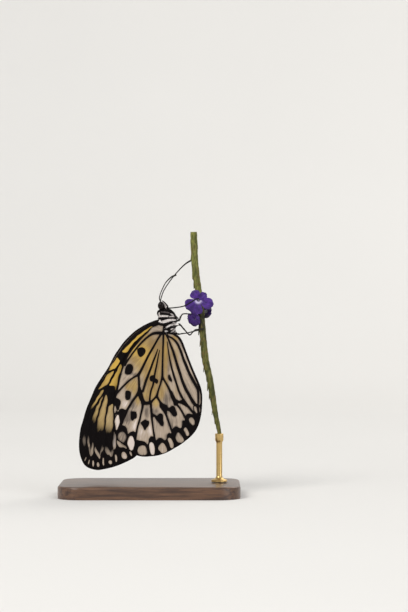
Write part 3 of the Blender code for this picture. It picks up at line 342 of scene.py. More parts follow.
# White spots in the black border: paleness from grey to chalk white, then the points round each.
BORDER_SPOTS = {
    "first_white": (0.85, [
        (117.7, 414.5), (116.2, 416.8), (115.3, 420), (115.5, 424.4), (116.2, 428), (116.9, 429.6),
        (118.2, 427.6), (119.3, 424), (119.9, 420.4), (119.5, 416.8), (118.7, 414.8)]),
    "sliver": (0.1, [
        (114.9, 405.2), (114.5, 409), (114.9, 412.8), (116.1, 411.5), (117.1, 409.6), (116.2, 407.3)]),
    "second_grey": (-0.45, [
        (118.1, 435.6), (119.3, 432.6), (121.6, 431.5), (124.1, 431.9), (126, 434.2), (126.3, 437.2),
        (125.5, 440.2), (123.9, 442.2), (122.1, 441.6), (120, 439.9), (118.6, 438)]),
    "third_white": (0.95, [
        (128.1, 440.4), (129, 437), (130.8, 435.7), (133, 436.5), (134.3, 439.6), (134.5, 443.2),
        (133.9, 447.6), (132.8, 449.5), (131.2, 449.8), (129.3, 447.6), (128, 444)]),
    "fourth_cream": (-0.02, [
        (138, 449.2), (138.8, 446.4), (141, 445.3), (143.6, 445.2), (145.8, 446.3), (147.1, 449.4),
        (147.1, 452.4), (145.5, 454.3), (142.4, 454.9), (139.6, 453.6), (138.2, 451.6)]),
    "fifth_white": (1, [
        (149.3, 444), (150.4, 442.1), (152.1, 441.7), (153.6, 443.2), (154.5, 446.6), (155, 450.4),
        (154.6, 453.6), (152.9, 454.5), (151.4, 453.2), (150.2, 449.4), (149.4, 446.4)]),
    "sixth_cream": (0.15, [
        (158.6, 447.4), (159.6, 444.4), (162, 442.2), (164.2, 443.3), (166, 446.7), (167.2, 450.4),
        (165.4, 452), (162.6, 452.7), (160.4, 451), (158.8, 449.2)]),
    "seventh_cream": (0.3, [
        (168, 438.8), (169.4, 437.5), (171.2, 438.3), (172.9, 441.6), (173.7, 445.2), (173, 447.4),
        (171.9, 447.8), (170.3, 446.4), (169.2, 442.6)]),
    "eighth_cream": (-0.05, [
        (176.2, 434.6), (177.6, 432.3), (179.4, 432.5), (181.2, 435), (183.2, 437.6), (184.1, 439.8),
        (182.8, 441.8), (180.8, 442.6), (178.4, 441.9), (176.6, 439.2), (175.8, 436.8)]),
    "ninth_cream": (0.15, [
        (184, 429.2), (185.4, 426.9), (187, 427.9), (188.4, 431), (189.1, 433.6), (187.8, 435.7),
        (186.4, 434.8), (184.8, 431.8)]),
    "tenth_grey": (-0.2, [
        (189.2, 419.3), (190, 417.6), (191.8, 417.2), (193.6, 418.7), (194.7, 420.8), (194.4, 423.6),
        (193.2, 424.8), (191.6, 424.2), (190.1, 422.2)]),
    "inner_low": (0, [
        (193.9, 406.2), (195.4, 405.9), (196.6, 407), (197, 410), (196.8, 412.8), (195.2, 411.4),
        (194.3, 408.8)]),
    "inner_edge": (-0.4, [(199.6, 406.6), (199.2, 409.4), (199.6, 412), (200.3, 409.4)]),
}
# The black border's inner edge, which dips between veins and rises over each white spot.
BORDER_LINE = [
    (112, 430), (116.4, 431.6), (118.4, 428.8), (120.4, 425.8), (122.6, 424.8), (125.2, 425.6), (127, 428),
    (127.9, 431.2), (128.3, 433.6), (129.6, 432.4), (131.6, 431.1), (133.6, 430.8), (135.2, 431.8),
    (136.6, 434), (136.9, 439.4), (139.4, 440), (142.2, 440.2), (144.8, 441.2), (146.4, 443), (147.6, 444.2),
    (148.7, 441.6), (149.3, 438.2), (150.4, 436), (152.2, 435.7), (154.2, 437.4), (155.4, 441.2),
    (157.2, 439.4), (159.2, 437.6), (161.4, 437.2), (163.4, 438.5), (165.2, 439.9), (166.5, 438.4),
    (166.9, 435.2), (167.9, 433.3), (169.6, 432.8), (171.2, 433), (171.9, 429.8), (173.4, 427.6),
    (175.2, 426), (177.2, 426.5), (178.8, 427.5), (180.4, 428.1), (181.5, 427), (182, 424.2), (182.3, 421.2),
    (183, 420.2), (184.6, 420.2), (185.6, 417.2), (186.2, 414.6), (187.6, 413.1), (190, 413.5),
    (192.4, 414.2), (193.6, 412.6), (195.2, 411.6), (197.4, 411.6), (200, 404), (204, 400),
]
# In pixels: the width of the black ring round each white spot, and how far the black edge reaches in, along
# the outer margin, which runs between two points of the outline, the front, the shoulder and the inner one.
BORDER_RING = 0.9
BORDER_EDGE = 1.5
BORDER_START = (114, 424)
BORDER_END = (202.2, 395)
FRONT_EDGE = 1.7
SHOULDER_EDGE = 0.5
INNER_EDGE = 2.0
# How far round a white spot its paleness reaches, in mm.
SPOT_HALO = 0.2
# Paler and greyer patches of the hindwing: centre, width, height, amount. They are partly the wing's own
# tones and partly painted light: painted highlight in the paler ones, painted shade in the greyer ones.
HIND_PATCHES = [
    (122, 381, 8, 16, 0.4), (125.6, 404, 10, 9, 0.65), (134.6, 425.6, 7, 12, 1), (138.6, 414, 3, 14, 0.4),
    (150.6, 430, 5, 13, 0.9), (145.6, 434, 9, 14, 0.2), (140.4, 433, 5, 14, 0.25), (161, 434, 9, 8, 0.4),
    (166.4, 420, 3, 14, 0.2), (133, 404.4, 6, 10, -1.1), (146.6, 411, 5, 14, -0.9), (141.6, 415, 3, 12, 0.1),
    (127.6, 417, 8, 14, -0.9), (132, 424, 4, 10, -0.2), (155.6, 411, 6, 7, -0.7), (156, 403, 7, 9, 0.3),
    (166, 399, 8, 14, -0.8), (134.6, 374.4, 7, 4, -0.9), (152, 344, 7, 12, -0.6), (158, 328.4, 14, 8, -0.1),
    (178, 384, 6, 34, -0.1), (191, 388, 8, 24, -0.15), (176, 420, 9, 10, -0.2), (157, 427, 4, 14, -0.2),
    (154.6, 366, 3, 14, -0.7), (149, 362, 4, 24, -0.35), (148, 399.4, 4, 6, -0.6), (172, 352, 3, 20, -0.2),
    (184.5, 355, 2.4, 10, 0.8), (188.2, 364, 2.4, 10, 0.8), (190.8, 371, 2.4, 8, 0.5),
    (199.8, 397, 2, 20, -0.6), (149, 383, 9, 14, -0.45), (147, 365, 6, 12, -0.5), (168, 370, 5, 30, -0.4),
    (158, 372, 8, 30, -0.35), (157, 329, 12, 8, -0.25), (170, 422, 9, 16, -0.3), (163, 434, 5, 8, -0.3),
    (124, 380, 7, 14, -0.5), (161, 348, 12, 24, -0.85),
]
# Where the hindwing is washed with gold, or, below 0, where it isn't: centre, width, height, amount.
HIND_GOLD = [
    (142, 352, 30, 34, 0.85), (152, 372, 22, 44, 0.65), (160, 352, 12, 44, 0.4), (128, 386, 8, 10, 0.7),
    (134.6, 386, 8, 22, 0.62), (146, 396, 9, 14, 0.5), (153.6, 392, 8, 16, 0.6), (156, 402.6, 8, 12, 0.55),
    (161.6, 393, 6, 16, 0.55), (138, 400.4, 6, 12, 0.55), (166, 350, 5, 46, 0.7), (172, 352, 5, 30, 0.4),
    (177, 358, 6, 40, 0.4), (166.6, 384, 6, 16, 0.35), (176, 392, 6, 16, 0.25), (184, 384, 10, 40, 0.15),
    (174.6, 338, 8, 6, 0.6), (147, 336, 9, 7, 0.45), (134, 349, 7, 16, 0.55), (158, 327.6, 14, 7, -1),
    (122, 376, 9, 26, -0.8), (133.6, 374.6, 9, 5, -0.7),
]
# How far, in mm, all the hindwing's ink is spread.
INK_SPREAD = 0.02

# Body, as stations (x, z, half depth along the middle plane, half width across it).
THORAX = [
    (4.9, 74, 0.7, 0.7), (5.3, 73.4, 2.2, 1.6), (6.1, 72.2, 3.15, 2.3), (6.8, 70.6, 3.9, 2.7),
    (6.8, 69.6, 3.9, 2.7), (6.8, 68, 3.7, 2.7), (7, 66.4, 3.4, 2.5), (7.1, 64.8, 2.7, 2.1),
    (7.3, 63.6, 1.9, 1.6), (7.4, 62.9, 1, 1),
]
HEAD_CENTRE = (5.1, 0.0, 75.5)
HEAD_RADII = (1.6, 1.1, 1.75)
EYE_CENTRE = (4.4, 1.3, 75.7)
EYE_RADII = (1.25, 0.95, 1.65)
WAIST = (7.3, 64.2)
ABDOMEN_TIP = (14.3, 39.6)
ABDOMEN_HALF_WIDTH = 2.05
ABDOMEN_RINGS = 8
ABDOMEN_BOW = 1.0
# Swells that the skin joins to the body: centre, then half length, half width and half height.
NECK = ((5.0, 0, 74.0), (1.0, 0.9, 1.0))
WAIST_SWELL = ((7.35, 0, 63.6), (1.5, 1.4, 1.6))
PAIRED_SWELLS = {
    "collar": ((4.35, 0.6, 72.7), (1.45, 1.1, 1.55)),
    "fore_boss": ((FORE_HINGE[0] + 0.3, FORE_HINGE[1] - 0.1, FORE_HINGE[2] - 0.2), (0.95, 0.75, 1.15)),
    "hind_boss": ((HIND_HINGE[0] + 0.2, HIND_HINGE[1] - 0.35, HIND_HINGE[2]), (1.1, 1.0, 1.3)),
}
# Heights at which the marks and the hair of the thorax give way to those of the abdomen.
MARK_LINE = 63.0
HAIR_LINE = 62.5
# Hair: how many, how long and how thick. It leaves the legs bare past this X.
THORAX_HAIR = (9000, 0.4, 0.032)
ABDOMEN_HAIR = (5000, 0.3, 0.03)
BARE_LEGS = 9.8
# The hair's map goes round the body's middle and up from its lowest hair, with a small patch for each hair.
BODY_MIDDLE = 6.5
HAIR_FOOT = 38.0
HAIR_SPAN = 42.0
HAIR_PATCH = 0.003
# The body's skin: steps and sides of its sections, size of the legs' roots against the legs, and its voxels.
BODY_STEP = 0.35
BODY_SIDES = 40
HIP_SIZE = 1.25
SKIN_VOXEL = 0.13
# Pale bands on the dark body, seen from the side, in the photograph's pixels: paleness, then (x, y, width).
BODY_BANDS = {
    "face_band": (0.6, [(162.2, 301.6, 0.9), (164, 303.4, 1.4), (165.6, 306, 1.8), (166.2, 308.6, 1.2)]),
    "neck_line": (0.42, [(161, 311.9, 1), (165.6, 312.1, 1.2), (169.4, 312.8, 1)]),
    "shoulder_bar": (0.9, [(159.2, 312.4, 0.9), (159.2, 314.6, 1.4), (159.2, 316.2, 1.8)]),
    "white_bar": (1, [(159.6, 316, 1.9), (165, 315.9, 1.8), (168, 316.2, 1.4)]),
    "white_bar_end": (0.8, [(169.8, 316.5, 1.1), (172.4, 316.4, 1.3), (174, 316.8, 0.7)]),
    "outer_arc": (0.5, [(170.6, 313.6, 0.9), (172.6, 314.8, 1.6), (173.6, 316.2, 1.1)]),
    "broad_band": (0.95, [
        (159.2, 320.5, 2.6), (162.6, 321.8, 2.4), (166, 321, 3), (169.4, 320.1, 2.4), (173, 319.7, 1.9),
        (175.8, 319.8, 0.9)]),
    "band_notch": (-1, [(161.3, 318.8, 0.7), (161.7, 321, 0.7)]),
    "back_fleck": (0.5, [(154.8, 322, 1.2), (155.8, 321, 1.2)]),
    "breast_fleck": (0.7, [(173, 322.6, 1), (175.6, 322.9, 1.2)]),
    "thigh_white": (0.95, [
        (164.4, 328.2, 1.1), (167.4, 326.6, 1.6), (170.6, 325, 1.7), (174.4, 324.2, 1.6),
        (178.8, 324.5, 1.2)]),
    "thigh_low": (0.8, [(165.6, 331, 1.6), (167.6, 331, 1.2)]),
    "hip_fleck": (0.7, [(166.8, 333.4, 1.2), (168.8, 333.8, 1.2)]),
    "side_hair_1": (0.75, [(170.8, 329.2, 1), (173.4, 328.4, 1)]),
    "side_hair_2": (0.9, [(171.2, 332.4, 1.4), (174, 330, 1.6), (177.6, 327.2, 1.2)]),
    "side_hair_3": (0.75, [(166, 335.4, 1.6), (170, 335.8, 1.6)]),
    "side_hair_4": (0.5, [(174.4, 332.8, 1.8), (176.6, 330.4, 1.6)]),
    "flank": (0.7, [(168, 338.6, 3), (174, 337.4, 3)]),
}

# Legs, one row per joint: (x, half width, z, radius). The forelegs are alike, and the mid legs start alike.
FORELEG = [(6.4, 1.0, 72.2, 0.5), (8.4, 1.7, 72.4, 0.46), (10.2, 1.75, 71.4, 0.36), (11.3, 1.6, 70.6, 0.22)]
MIDLEG_ROOT = [
    (7.0, 1.4, 69.4, 0.66), (9.4, 2.1, 69.5, 0.58), (11.6, 2.6, 70.0, 0.38), (12.2, 3.0, 71.2, 0.27),
    (13.0, 3.6, 72.3, 0.23),
]
LEGS = {
    "foreleg_right": FORELEG,
    "foreleg_left": FORELEG,
    "midleg_right": MIDLEG_ROOT + [(14.0, 3.9, 72.5, 0.2), (15.2, 3.1, 72.4, 0.18), (16.4, 2.0, 72.0, 0.15)],
    "midleg_left": MIDLEG_ROOT + [
        (14.4, 3.7, 72.5, 0.22), (16.2, 3.2, 72.4, 0.2), (18.2, 2.5, 72.9, 0.19), (19.6, 1.85, 73.6, 0.16)],
    "hindleg_right": [
        (7.0, 1.2, 66.9, 0.66), (9.6, 2.2, 67.4, 0.56), (11.8, 3.0, 68.2, 0.38), (13.6, 2.9, 66.4, 0.27),
        (15.8, 2.6, 64.1, 0.25), (17.0, 2.5, 65.1, 0.24), (18.2, 2.4, 66.1, 0.24), (20.2, 2.1, 66.3, 0.3),
        (21.6, 2.0, 66.5, 0.26)],
    "hindleg_left": [
        (7.0, 1.2, 66.7, 0.66), (9.3, 2.8, 66.4, 0.54), (10.1, 3.9, 65.0, 0.38), (11.4, 3.8, 64.3, 0.28),
        (12.8, 3.1, 64.5, 0.24), (15.0, 2.4, 64.8, 0.22), (17.6, 2.2, 65.5, 0.22), (20.0, 2.2, 65.9, 0.2)],
}
ANTENNAE = {
    "antenna_right": [
        (4.4, 0.38, 76.4, 0.22), (4.1, 0.38, 77.5, 0.22), (3.8, 1.1, 78.9, 0.2), (4.6, 3.6, 81.4, 0.2),
        (6.4, 7.6, 84.8, 0.21), (8.6, 12.6, 86.9, 0.26), (10.3, 16.6, 87.6, 0.32), (10.9, 17.7, 87.7, 0.1)],
    "antenna_left": [
        (4.4, 0.38, 76.4, 0.22), (4.2, 0.38, 77.5, 0.22), (4.5, 0.9, 79.0, 0.2), (5.6, 2.0, 82.0, 0.2),
        (8.0, 3.2, 85.7, 0.21), (10.8, 4.4, 89.2, 0.22), (13.8, 5.6, 92.3, 0.28), (16.2, 6.4, 93.9, 0.34),
        (16.9, 6.6, 94.2, 0.1)],
}
# Lengths of the rings of the feelers and the tongue.
ANTENNA_RING = 0.42
TONGUE_RING = 0.5
# Bristles stand on legs thinner than this radius; the claws are a pair of longer ones.
BRISTLE_LIMIT = 0.3
BRISTLE_LENGTH = 0.34
BRISTLE_RADIUS = 0.04
CLAW_LENGTH = 0.5
PROBOSCIS = [
    (6.0, 0.0, 75.1, 0.28), (7.8, 0.0, 74.8, 0.25), (10.4, -1.2, 75.0, 0.24), (13.0, -3.3, 75.4, 0.24),
    (14.8, -4.7, 76.1, 0.24), (16.6, -5.1, 77.2, 0.24), (18.3, -4.9, 78.3, 0.22), (19.4, -4.2, 78.6, 0.19),
    (19.5, -3.5, 78.3, 0.12),
]
PALP = [
    (6.3, 0.66, 74.75, 0.42), (6.85, 0.68, 75.35, 0.5), (6.1, 0.66, 76.4, 0.46), (5.35, 0.62, 77.25, 0.32),
    (4.8, 0.6, 77.8, 0.14),
]

# Flower spike: its middle line as (x, z, radius).
SPIKE = [
    (17.5, 105.2, 1.3), (17.6, 101.0, 1.33), (17.8, 95.2, 1.35), (18.4, 88.4, 1.38), (19.4, 81.2, 1.33),
    (20.4, 73.2, 1.32), (21.2, 63.2, 1.3), (22.2, 54.4, 1.34), (24.0, 45.6, 1.28), (25.5, 36.8, 1.14),
    (26.5, 30.8, 0.96), (27.6, 25.6, 0.82), (27.75, 24.15, 0.8),
]
STEM_SIDES = 28
# Thickness of bracts and petals.
LEAF_WALL = 0.12
# Each bract's turn from the one below it, in radians.
GOLDEN_ANGLE = 2.39996
BRACT_ROWS = 58
BRACT_LENGTH = 3.3
BRACT_WIDTH = 1.1
# The bracts just under the flowers are bigger.
CALYX_ZONE = (63.5, 74.5)
CALYX_SIZE = 1.45
# Where along a petal, from 0 to 1, it is widest.
PETAL_WIDEST = 0.62
# A throat's marks are drawn for a flower whose longest lobe is this long.
THROAT_SCALE = 6.6
# Each flower's painted shade darkens the low and back flowers, which lie in the front one's shade.
FLOWERS = {
    "flower_front": {
        "throat": (19.3, -3.3, 77.9), "facing": (-0.1, -1.0, -0.08), "width": 1.9, "petal_painted_shade": 0.0,
        "lobes": [(119, 4.5, 1.1), (40, 4.4, 0.85), (-18, 6.6, 1.2), (212, 6.2, 1.4), (250, 6.1, 1.65)],
    },
    "flower_low": {
        "throat": (17.9, -1.3, 70.4), "facing": (-0.55, -0.8, -0.25), "width": 1.9, "petal_painted_shade": 0.4,
        "lobes": [(105, 2.9, 1.1), (24, 2.5, 1.0), (-58, 2.9, 0.95), (174, 3.8, 1.15), (240, 3.4, 0.95)],
    },
    "flower_back": {
        "throat": (22.9, 2.1, 73.4), "facing": (0.72, 0.62, -0.2), "width": 1.6, "petal_painted_shade": 0.6,
        "lobes": [(90, 2.9, 1.0), (18, 2.9, 1.0), (-54, 3.0, 1.0), (162, 2.9, 1.0), (234, 3.0, 1.0)],
    },
}

# The base's corner radius and the rounding of its upper edge.
PLINTH_CORNER = 9
PLINTH_EDGE = 0.9
# The rod's profile: radius and depth below its top, then radius and height over its foot.
ROD_CAP = [
    (0, 0.5), (1.25, 0.5), (1.3, 0.1), (1.5, 0), (1.68, 0.12), (1.68, 2.7), (1.5, 3.0), (1.3, 3.3),
    (1.2, 4.0),
]
ROD_FOOT = [
    (1.2, 2.4), (1.35, 1.9), (1.7, 1.45), (2.4, 1.1), (3.0, 0.95), (3.2, 0.75), (3.2, 0.12), (3.08, 0),
    (0, 0),
]

# Colours, in linear light.
INK = (0.0025, 0.0014, 0.0016, 1)
# CREAM, GREY, TAN, UMBER and GOLD give the wing's ground as it looks in shade, darker than the creamy white
# and yellow it has in full light: painted shade over the whole wing.
CREAM = (0.38, 0.305, 0.235, 1)
GREY = (0.14, 0.112, 0.09, 1)
CHALK = (0.62, 0.54, 0.49, 1)
GOLD = (0.51, 0.325, 0.065, 1)
TAN = (0.42, 0.3, 0.12, 1)
UMBER = (0.25, 0.165, 0.07, 1)
BODY_PALE = (0.72, 0.67, 0.65, 1)
BODY_GREY = (0.13, 0.11, 0.11, 1)


class Value:
    """A number in a shader, which can be used in sums."""

    def __init__(self, finish, socket):
        self.finish = finish
        self.socket = socket

    def _sum(self, operation, first, second):
        return self.finish.node("ShaderNodeMath", {"operation": operation}, {0: first, 1: second})

    def __add__(self, other):
        return self._sum("ADD", self, other)

    __radd__ = __add__

    def __sub__(self, other):
        return self._sum("SUBTRACT", self, other)

    def __rsub__(self, other):
        return self._sum("SUBTRACT", other, self)

    def __mul__(self, other):
        return self._sum("MULTIPLY", self, other)

    def between(self, low, high):
        """0 up to low, 1 from high on, and smooth in between."""
        sockets = {"Value": self, "From Min": low, "From Max": high}
        return self.finish.node("ShaderNodeMapRange", {"interpolation_type": "SMOOTHSTEP"}, sockets)


class Finish:
    """A material: a Principled shader and the nodes that vary it over the surface."""

    def __init__(self, name, **constants):
        self.material = bpy.data.materials.new(name)
        self.material.use_nodes = True
        self.tree = self.material.node_tree
        self.shader = self.tree.nodes["Principled BSDF"]
        for key, value in constants.items():
            self.shader.inputs[key.replace("_", " ").title().replace("Ior", "IOR")].default_value = value

    def node(self, kind, settings, sockets, output=0):
        made = self.tree.nodes.new(kind)
        for key, value in settings.items():
            setattr(made, key, value)
        for key, value in sockets.items():
            if isinstance(value, Value):
                self.tree.links.new(value.socket, made.inputs[key])
            else:
                made.inputs[key].default_value = value
        return Value(self, made.outputs[output])

    def set(self, **links):
        for key, value in links.items():
            self.tree.links.new(value.socket, self.shader.inputs[key.replace("_", " ").title()])
        return self.material

    def place(self):
        return self.node("ShaderNodeTexCoord", {}, {}, "Object")

    def stretched(self, x, y, z):
        return self.node("ShaderNodeMapping", {}, {"Vector": self.place(), "Scale": (x, y, z)})

    def attribute(self, name, vector=False):
        return self.node("ShaderNodeAttribute", {"attribute_name": name}, {}, "Vector" if vector else "Fac")

    def noise(self, size, where=None, detail=2.0, roughness=0.5):
        """Soft noise from 0 to 1 whose lumps are about size mm, or size units of the place given."""
        scale = 1 / size if where else 1 / (size * MM)
        sockets = {"Vector": where or self.place(), "Scale": scale, "Detail": detail, "Roughness": roughness}
        return self.node("ShaderNodeTexNoise", {}, sockets)

    def mix(self, mask, low, high):
        settings = {"data_type": "RGBA", "clamp_factor": True}
        return self.node("ShaderNodeMix", settings, {0: mask, 6: low, 7: high}, 2)

    def bump(self, height, depth, strength=1.0):
        """A relief whose height runs from 0 to depth mm."""
        sockets = {"Height": height, "Distance": depth * MM, "Strength": strength}
        return self.node("ShaderNodeBump", {}, sockets)


def deselect():
    for obj in bpy.context.selected_objects:
        obj.select_set(False)


def dress(obj, material):
    obj.data.materials.clear()
    obj.data.materials.append(material)


def add_object(name, mesh, material=None):
    obj = bpy.data.objects.new(name, mesh)
    bpy.context.scene.collection.objects.link(obj)
    if material:
        dress(obj, material)
    return obj


def new_mesh(name, points, faces):
    """A mesh from points in millimetres."""
    mesh = bpy.data.meshes.new(name)
    mesh.from_pydata((np.asarray(points) * MM).tolist(), [], faces)
    mesh.validate()
    return mesh


def outward(mesh):
    """Turns every face outwards."""
    cage = bmesh.new()
    cage.from_mesh(mesh)
    bmesh.ops.recalc_face_normals(cage, faces=cage.faces)
    cage.to_mesh(mesh)
    cage.free()


def apply_modifiers(obj):
    deselect()
    bpy.context.view_layer.objects.active = obj
    obj.select_set(True)
    for modifier in list(obj.modifiers):
        bpy.ops.object.modifier_apply(modifier=modifier.name)
    obj.select_set(False)


def join_pieces(pieces, name):
    deselect()
    for piece in pieces:
        piece.select_set(True)
    bpy.context.view_layer.objects.active = pieces[0]
    bpy.ops.object.join()
    whole = bpy.context.object
    whole.name = name
    return whole


def thicken(sheet):
    """Gives the thin sheet of a leaf or petal its thickness."""
    wall = sheet.modifiers.new("wall", "SOLIDIFY")
    wall.thickness = LEAF_WALL * MM
    wall.offset = 0
    apply_modifiers(sheet)


def smooth_shade(obj, angle):
    """Smooth, but for edges sharper than this angle in degrees."""
    obj.data.shade_smooth()
    obj.data.set_sharp_from_angle(angle=math.radians(angle))


def points_of(obj):
    """The object's points in millimetres."""
    found = np.empty(len(obj.data.vertices) * 3)
    obj.data.vertices.foreach_get("co", found)
    return found.reshape(-1, 3) / MM


def store(obj, **fields):
    """Keeps one number, or one vector, for each point of the mesh under each name."""
    for name, values in fields.items():
        values = np.asarray(values, float)
        kind, key = ("FLOAT", "value") if values.ndim == 1 else ("FLOAT_VECTOR", "vector")
        attribute = obj.data.attributes.get(name) or obj.data.attributes.new(name, kind, "POINT")
        attribute.data.foreach_set(key, values.ravel())


def finish_piece(obj, slot, *nodes):
    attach(obj, "root")
    if nodes:
        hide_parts(*nodes)
    return obj


def unit(vectors):
    """Each vector made 1 long."""
    return vectors / np.maximum(np.linalg.norm(vectors, axis=-1, keepdims=True), 1e-12)


def directions(rows):
    """The way a line goes at each of its rows, as unit vectors."""
    return unit(np.gradient(rows[:, :3], axis=0))


def mirrored(rows, side):
    """Rows given with a half width, put on one side of the middle plane."""
    return [(x, side * y, *rest) for x, y, *rest in rows]


def side_of(node):
    """-1 for a node on the right, 1 for one on the left."""
    return SIDES[node.split("_")[-1]]


def smooth_rows(rows, step, closed=False):
    """Rows about a step apart on a smooth curve through the given rows, whose first numbers are a place."""
    rows = np.array(rows, float)
    count = len(rows)
    out = []
    for i in range(count if closed else count - 1):
        b, c = rows[i], rows[(i + 1) % count]
        a = rows[i - 1] if closed or i else 2 * b - c
        d = rows[(i + 2) % count] if closed or i + 2 < count else 2 * c - b
        pieces = max(1, round(np.linalg.norm((c - b)[:3]) / step))
        t = (np.arange(pieces) / pieces)[:, None]
        bend = (2 * a - 5 * b + 4 * c - d) * t**2 + (3 * b - a - 3 * c + d) * t**3
        out.append(b + ((c - a) * t + bend) / 2)
    if not closed:
        out.append(rows[-1:])
    return np.vstack(out)


def on_wing(rows):
    """Pixels of the photograph as (x, z) in millimetres, with any width that follows scaled too."""
    rows = np.array(rows, float)
    placed = rows * MM_PER_PIXEL
    placed[:, :2] = (rows[:, :2] - ZERO_PIXEL) * MM_PER_PIXEL * (1, -1)
    return placed


def line_gap(points, rows):
    """Distance in mm from points to the edge of a stroke through rows (x, z, width), negative inside it."""
    best = np.full(len(points), FAR)
    for a, b in zip(rows, rows[1:]):
        along = b[:2] - a[:2]
        t = np.clip((points - a[:2]) @ along / max(along @ along, 1e-9), 0, 1)
        away = points - a[:2] - t[:, None] * along
        best = np.minimum(best, np.hypot(away[:, 0], away[:, 1]) - (a[2] + (b[2] - a[2]) * t) / 2)
    return best


def stroke_gap(points, rows):
    """The same for a smooth stroke given in pixels."""
    return line_gap(points, smooth_rows(on_wing(rows), STROKE_STEP))


def closed_line(ring):
    """A ring as a line without width that ends where it starts."""
    return np.column_stack([np.vstack([ring, ring[:1]]), np.zeros(len(ring) + 1)])


def field_gap(points, rows):
    """Distance in mm to the edge of a field with these corners, negative inside it and large far from it."""
    near = np.all((points > rows.min(0) - FIELD_REACH) & (points < rows.max(0) + FIELD_REACH), axis=1)
    away = line_gap(points[near], closed_line(rows))
    gap = np.full(len(points), FAR)
    gap[near] = np.where(inside(points[near], rows), -away, away)
    return gap


def blot_gap(points, ring):
    """The same for a smooth field through points given in pixels."""
    return field_gap(points, smooth_rows(on_wing(ring), FIELD_STEP, closed=True))


def oval_gap(points, x, y, width, height, turn):
    """Distance in mm to the edge of an oval given in pixels, negative inside it."""
    centre = on_wing([(x, y)])[0]
    angle = math.radians(-turn)
    away = points - centre
    across = away[:, 0] * math.cos(angle) + away[:, 1] * math.sin(angle)
    up = -away[:, 0] * math.sin(angle) + away[:, 1] * math.cos(angle)
    radii = np.array([width, height]) * MM_PER_PIXEL / 2
    near = np.hypot(across / radii[0], up / radii[1])
    slope = np.hypot(across / radii[0] ** 2, up / radii[1] ** 2)
    return np.where(near > 1e-6, near * (near - 1) / np.maximum(slope, 1e-6), -radii.min())


def melt(a, b):
    """The lesser of two gaps, with a soft fillet where the two shapes meet."""
    share = np.clip(0.5 + (b - a) / (2 * INK_MELT), 0, 1)
    return b + (a - b) * share - INK_MELT * share * (1 - share)


def melt_all(gaps):
    best = gaps[0]
    for gap in gaps[1:]:
        best = melt(best, gap)
    return best


def wander(points):
    """Points pushed about a little, so that drawn edges look grown."""
    x, z = points[:, 0] / WANDER_SIZE, points[:, 1] / WANDER_SIZE
    across = np.sin(2.1 * z + 1.3 * np.sin(1.7 * x))
    up = np.sin(1.9 * x + 1.1 * np.sin(2.3 * z) + 1)
    return points + WANDER * np.column_stack([across, up])


def hill(points, x, y, width, height):
    """1 at a pixel, falling smoothly to 0 past an oval round it."""
    away = (points - on_wing([(x, y)])[0]) / (np.array([width, height]) * MM_PER_PIXEL / 2)
    return np.exp(-(away**2).sum(1))


def hills(points, rows):
    """Hills added up, each given as its centre, width, height and amount."""
    return sum(amount * hill(points, *oval) for *oval, amount in rows)


def smooth_step(low, high, value):
    t = np.clip((value - low) / (high - low), 0, 1)
    return t * t * (3 - 2 * t)


def wing_stand(points):
    """How far the forewing's middle surface stands from the middle plane."""
    reach = np.hypot(points[:, 0] - FORE_HINGE[0], points[:, 1] - FORE_HINGE[2])
    root = HINGE_STAND * np.exp(-((reach / HINGE_REACH) ** 2))
    return WING_STAND + root + TIP_SPREAD * (reach / TIP_REACH) ** 2


def hindwing_stand(points):
    """The same for the hindwing, which lies outside the forewing and rounds the abdomen."""
    axis = np.array([(x, z, 0) for x, z in ABDOMEN_AXIS])
    along = smooth_step(*ROOM_TOP, points[:, 1]) * smooth_step(*ROOM_END, points[:, 1])
    room = ABDOMEN_ROOM * along * np.exp(-((line_gap(points, axis) / ABDOMEN_ROOM_REACH) ** 2))
    return wing_stand(points) + WING_LAYER + room


def wing_grid(outline, veins):
    """The flat wing: triangles between points on its edge, along its veins and evenly between them."""
    rim = smooth_rows(on_wing(outline), WING_EDGE_STEP, closed=True)
    edge = closed_line(rim)
    lines = [smooth_rows(on_wing(line), WING_GRID) for line in veins]
    crests = [np.column_stack([line, np.zeros(len(line))]) for line in lines]
    low, high = rim.min(0), rim.max(0)
    across = np.arange(low[0], high[0], WING_GRID)
    up = np.arange(low[1], high[1], WING_GRID * GRID_ROW)
    grid = np.array([(x + WING_GRID / 2 * (k % 2), z) for k, z in enumerate(up) for x in across])
    grid = grid[inside(grid, rim)]
    for line in [edge, *crests]:
        grid = grid[line_gap(grid, line) > GRID_ROOM * WING_GRID]
    spine = np.vstack(lines)
    spine = spine[inside(spine, rim)]
    spine = spine[line_gap(spine, edge) > SPINE_ROOM * WING_GRID]
    points = [Vector(p) for p in np.vstack([rim, spine, grid])]
    ring = [(i, (i + 1) % len(rim)) for i in range(len(rim))]
    flat, _, triangles, _, _, _ = geometry.delaunay_2d_cdt(points, ring, [], 1, POINT_MERGE)
    return np.array([tuple(p) for p in flat]), triangles, crests


def inside(points, ring):
    """Which points lie inside a closed ring."""
    x, z = points[:, 0], points[:, 1]
    found = np.zeros(len(points), bool)
    for (ax, az), (bx, bz) in zip(ring, np.roll(ring, -1, axis=0)):
        crosses = (az > z) != (bz > z)
        found ^= crosses & (x < (bx - ax) * (z - az) / (bz - az if bz != az else 1e-9) + ax)
    return found


